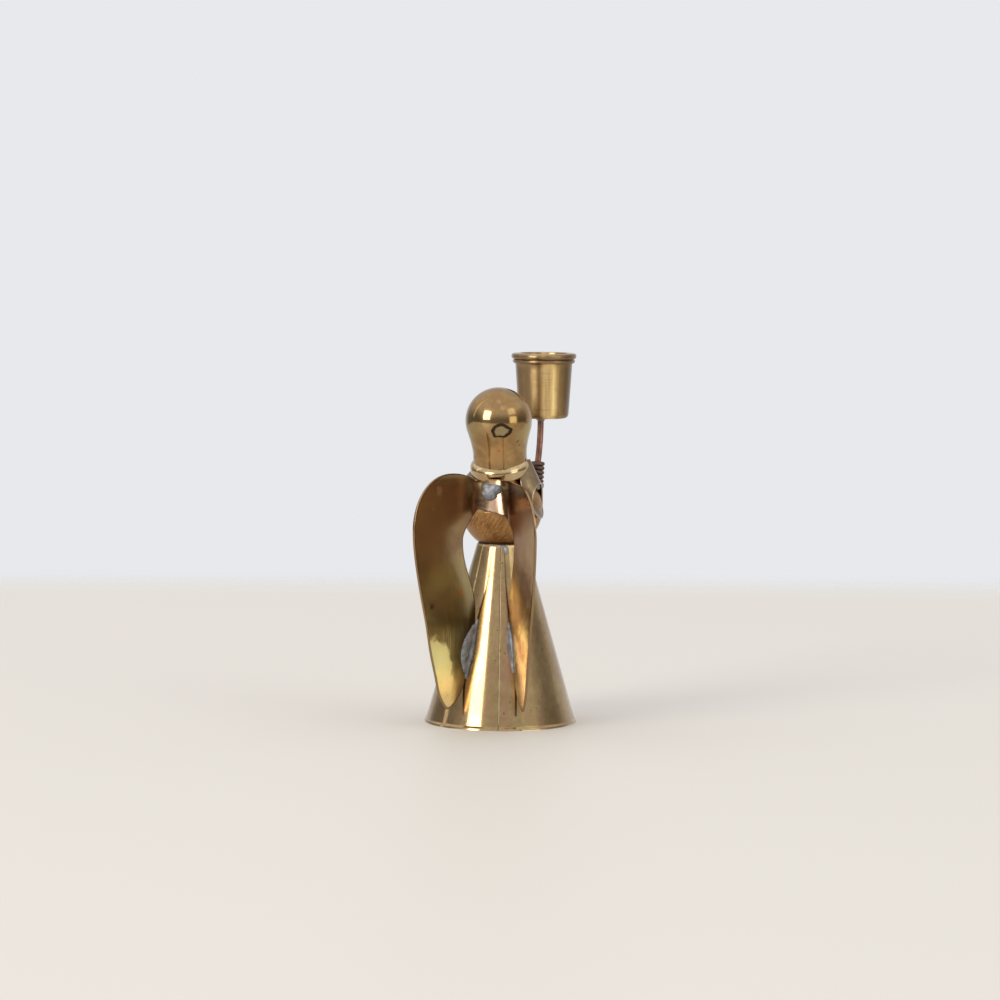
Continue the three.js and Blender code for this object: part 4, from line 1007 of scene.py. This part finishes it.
# Brown to one side of the band and dark towards the cup's edge on the other side are painted shade
for share, tint in (
        (spread(aside, -1.5 * mm, -4.5 * mm, 0.0, 0.75), (0.27, 0.18, 0.095)),
        (spread(aside, 4.6 * mm, 7.2 * mm, 0.0, 0.9), (0.16, 0.1, 0.05)),
        (rubbed_and_highlight, (0.88, 0.62, 0.28)),
        (at_rim, (0.24, 0.15, 0.085)),
        (spread(up_cup, 19.7 * mm, 19.88 * mm, 0.0, 0.7), (0.62, 0.47, 0.27)),
        (times(spread(marks, 0.55, 0.8), 0.5), (0.24, 0.14, 0.06))):
    tarnish_and_painted_light = mixed(share, tarnish_and_painted_light, tint)
coat(shader, pitted(place, tarnish_and_painted_light, (0.06, 0.04, 0.03), 0.7, 2.2 * mm, 0.12, 0.12),
     spread(clouds["Cover"], 0, 1, 0.26, 0.36), sums("ADD", marks, rings), 0.4, 0.06 * mm)
round_it = put(tree, "VectorMath", {0: from_axis, 1: (0, 0, 1)}, operation="CROSS_PRODUCT").outputs[0]
tree.links.new(round_it, shader.inputs["Tangent"])

bm = spun([(r * mm, z * mm) for r, z in profile], 160)
cup = made(bm, "turned_cup", turned_brass, cup_middle)
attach(cup, "root")
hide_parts("candle_cup")

stem_end = hands + stem_axis * reach_up
joint = lumps("cup_joint", [
    (stem_end + Vector((0, 0, -0.15)) * mm, (1.75, 1.75, 0.45)),
    (stem_end - stem_axis * 0.55 * mm, (1.25, 1.25, 0.7)),
])
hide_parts("cup_solder")


# Table, light and camera: a pale table with a pale wall behind it, daylight from a window
# on each side of the camera, and a darker room behind the camera for the brass to mirror.
camera_azimuth, camera_away, camera_height = 192.5, 1142 * mm, 161.3 * mm
camera_down, camera_roll, camera_pan = radians(4.72), radians(0.45), 0.0005
window_away, window_aim = 3.0, 0.06
table_turn = radians(camera_azimuth - 180)
table_middle = Matrix.Rotation(table_turn, 3, "Z") @ Vector((0, 0.14, 0))
table_size = (1.6, 0.6, 1)
bm = bmesh.new()
spot = (Matrix.Translation(table_middle) @ Matrix.Rotation(table_turn, 4, "Z")
        @ Matrix.Diagonal((*table_size, 1)))
bmesh.ops.create_circle(bm, cap_ends=True, segments=192, radius=1, matrix=spot)
table_top, tree, shader, place = new_finish("table_top", Roughness=0.55, Base_Color=(0.665, 0.62, 0.56))
on_table = put(tree, "Mapping", {"Vector": place, "Location": table_middle, "Rotation": (0, 0, table_turn),
                                 "Scale": table_size}, vector_type="TEXTURE").outputs[0]
from_middle = put(tree, "VectorMath", {0: on_table}, operation="LENGTH").outputs["Value"]
tree.links.new(spread(from_middle, 0.8, 0.995, 1.0, 0.0), shader.inputs["Alpha"])
table = made(bm, "table", table_top)

world = bpy.data.worlds.new("room")
world.use_nodes = True
bpy.context.scene.world = world
tree = world.node_tree
look = put(tree, "TexCoord").outputs["Generated"]
way = parts_of(look)
room = mixed(spread(way["Z"], 0.02, 0.64), (0.28, 0.27, 0.255), (1.12, 1.12, 1.14))
sideways = measured(look, (cos(table_turn), sin(table_turn), 0), "DOT_PRODUCT")
dim = spread(sums("ABSOLUTE", sideways), 0.82, 0.97, 0.0, 0.4)
walls = mixed(dim, room, (0.16, 0.15, 0.14))
backdrop = spread(way["Y"], -0.4, -0.8)
seen = sums("MAXIMUM", backdrop, put(tree, "LightPath").outputs["Is Camera Ray"])
tree.links.new(mixed(seen, walls, (0.8, 0.815, 0.845)), tree.nodes["Background"].inputs["Color"])


def window(name, azimuth, elevation, width, height, watts, colour):
    """A bright window that faces the figure, at an angle round from the camera."""
    light = bpy.data.lights.new(name, "AREA")
    light.shape = "RECTANGLE"
    light.size, light.size_y, light.energy, light.color = width, height, watts, colour
    lamp = placed(name, light)
    turn = (Matrix.Rotation(radians(camera_azimuth + azimuth), 4, "Z")
            @ Matrix.Rotation(radians(90 - elevation), 4, "X"))
    lamp.matrix_world = (Matrix.Translation((0, 0, window_aim)) @ turn
                         @ Matrix.Translation((0, 0, window_away)))


window("left_window", -43.5, 20, 1.3, 1.45, 46, (1, 1, 0.98))
window("right_window_low", 52, 6, 1.4, 1.05, 10, (0.95, 1, 0.84))
window("right_window_high", 52, 32, 1.4, 1.0, 5, (0.95, 1, 0.9))
window("left_slit", -98, 30, 0.14, 2.4, 2, (1, 1, 0.97))

lens = bpy.data.cameras.new("camera")
lens.sensor_width = 36
lens.lens = 136.8
camera = placed("camera", lens)
azimuth = radians(camera_azimuth)
stand = figure + Vector((camera_away * sin(azimuth), -camera_away * cos(azimuth), camera_height))
camera.matrix_world = (Matrix.Translation(stand) @ Matrix.Rotation(azimuth + camera_pan, 4, "Z")
                       @ Matrix.Rotation(pi / 2 - camera_down, 4, "X") @ Matrix.Rotation(camera_roll, 4, "Z"))
bpy.context.scene.camera = camera
bpy.context.scene.view_settings.view_transform = "Standard"
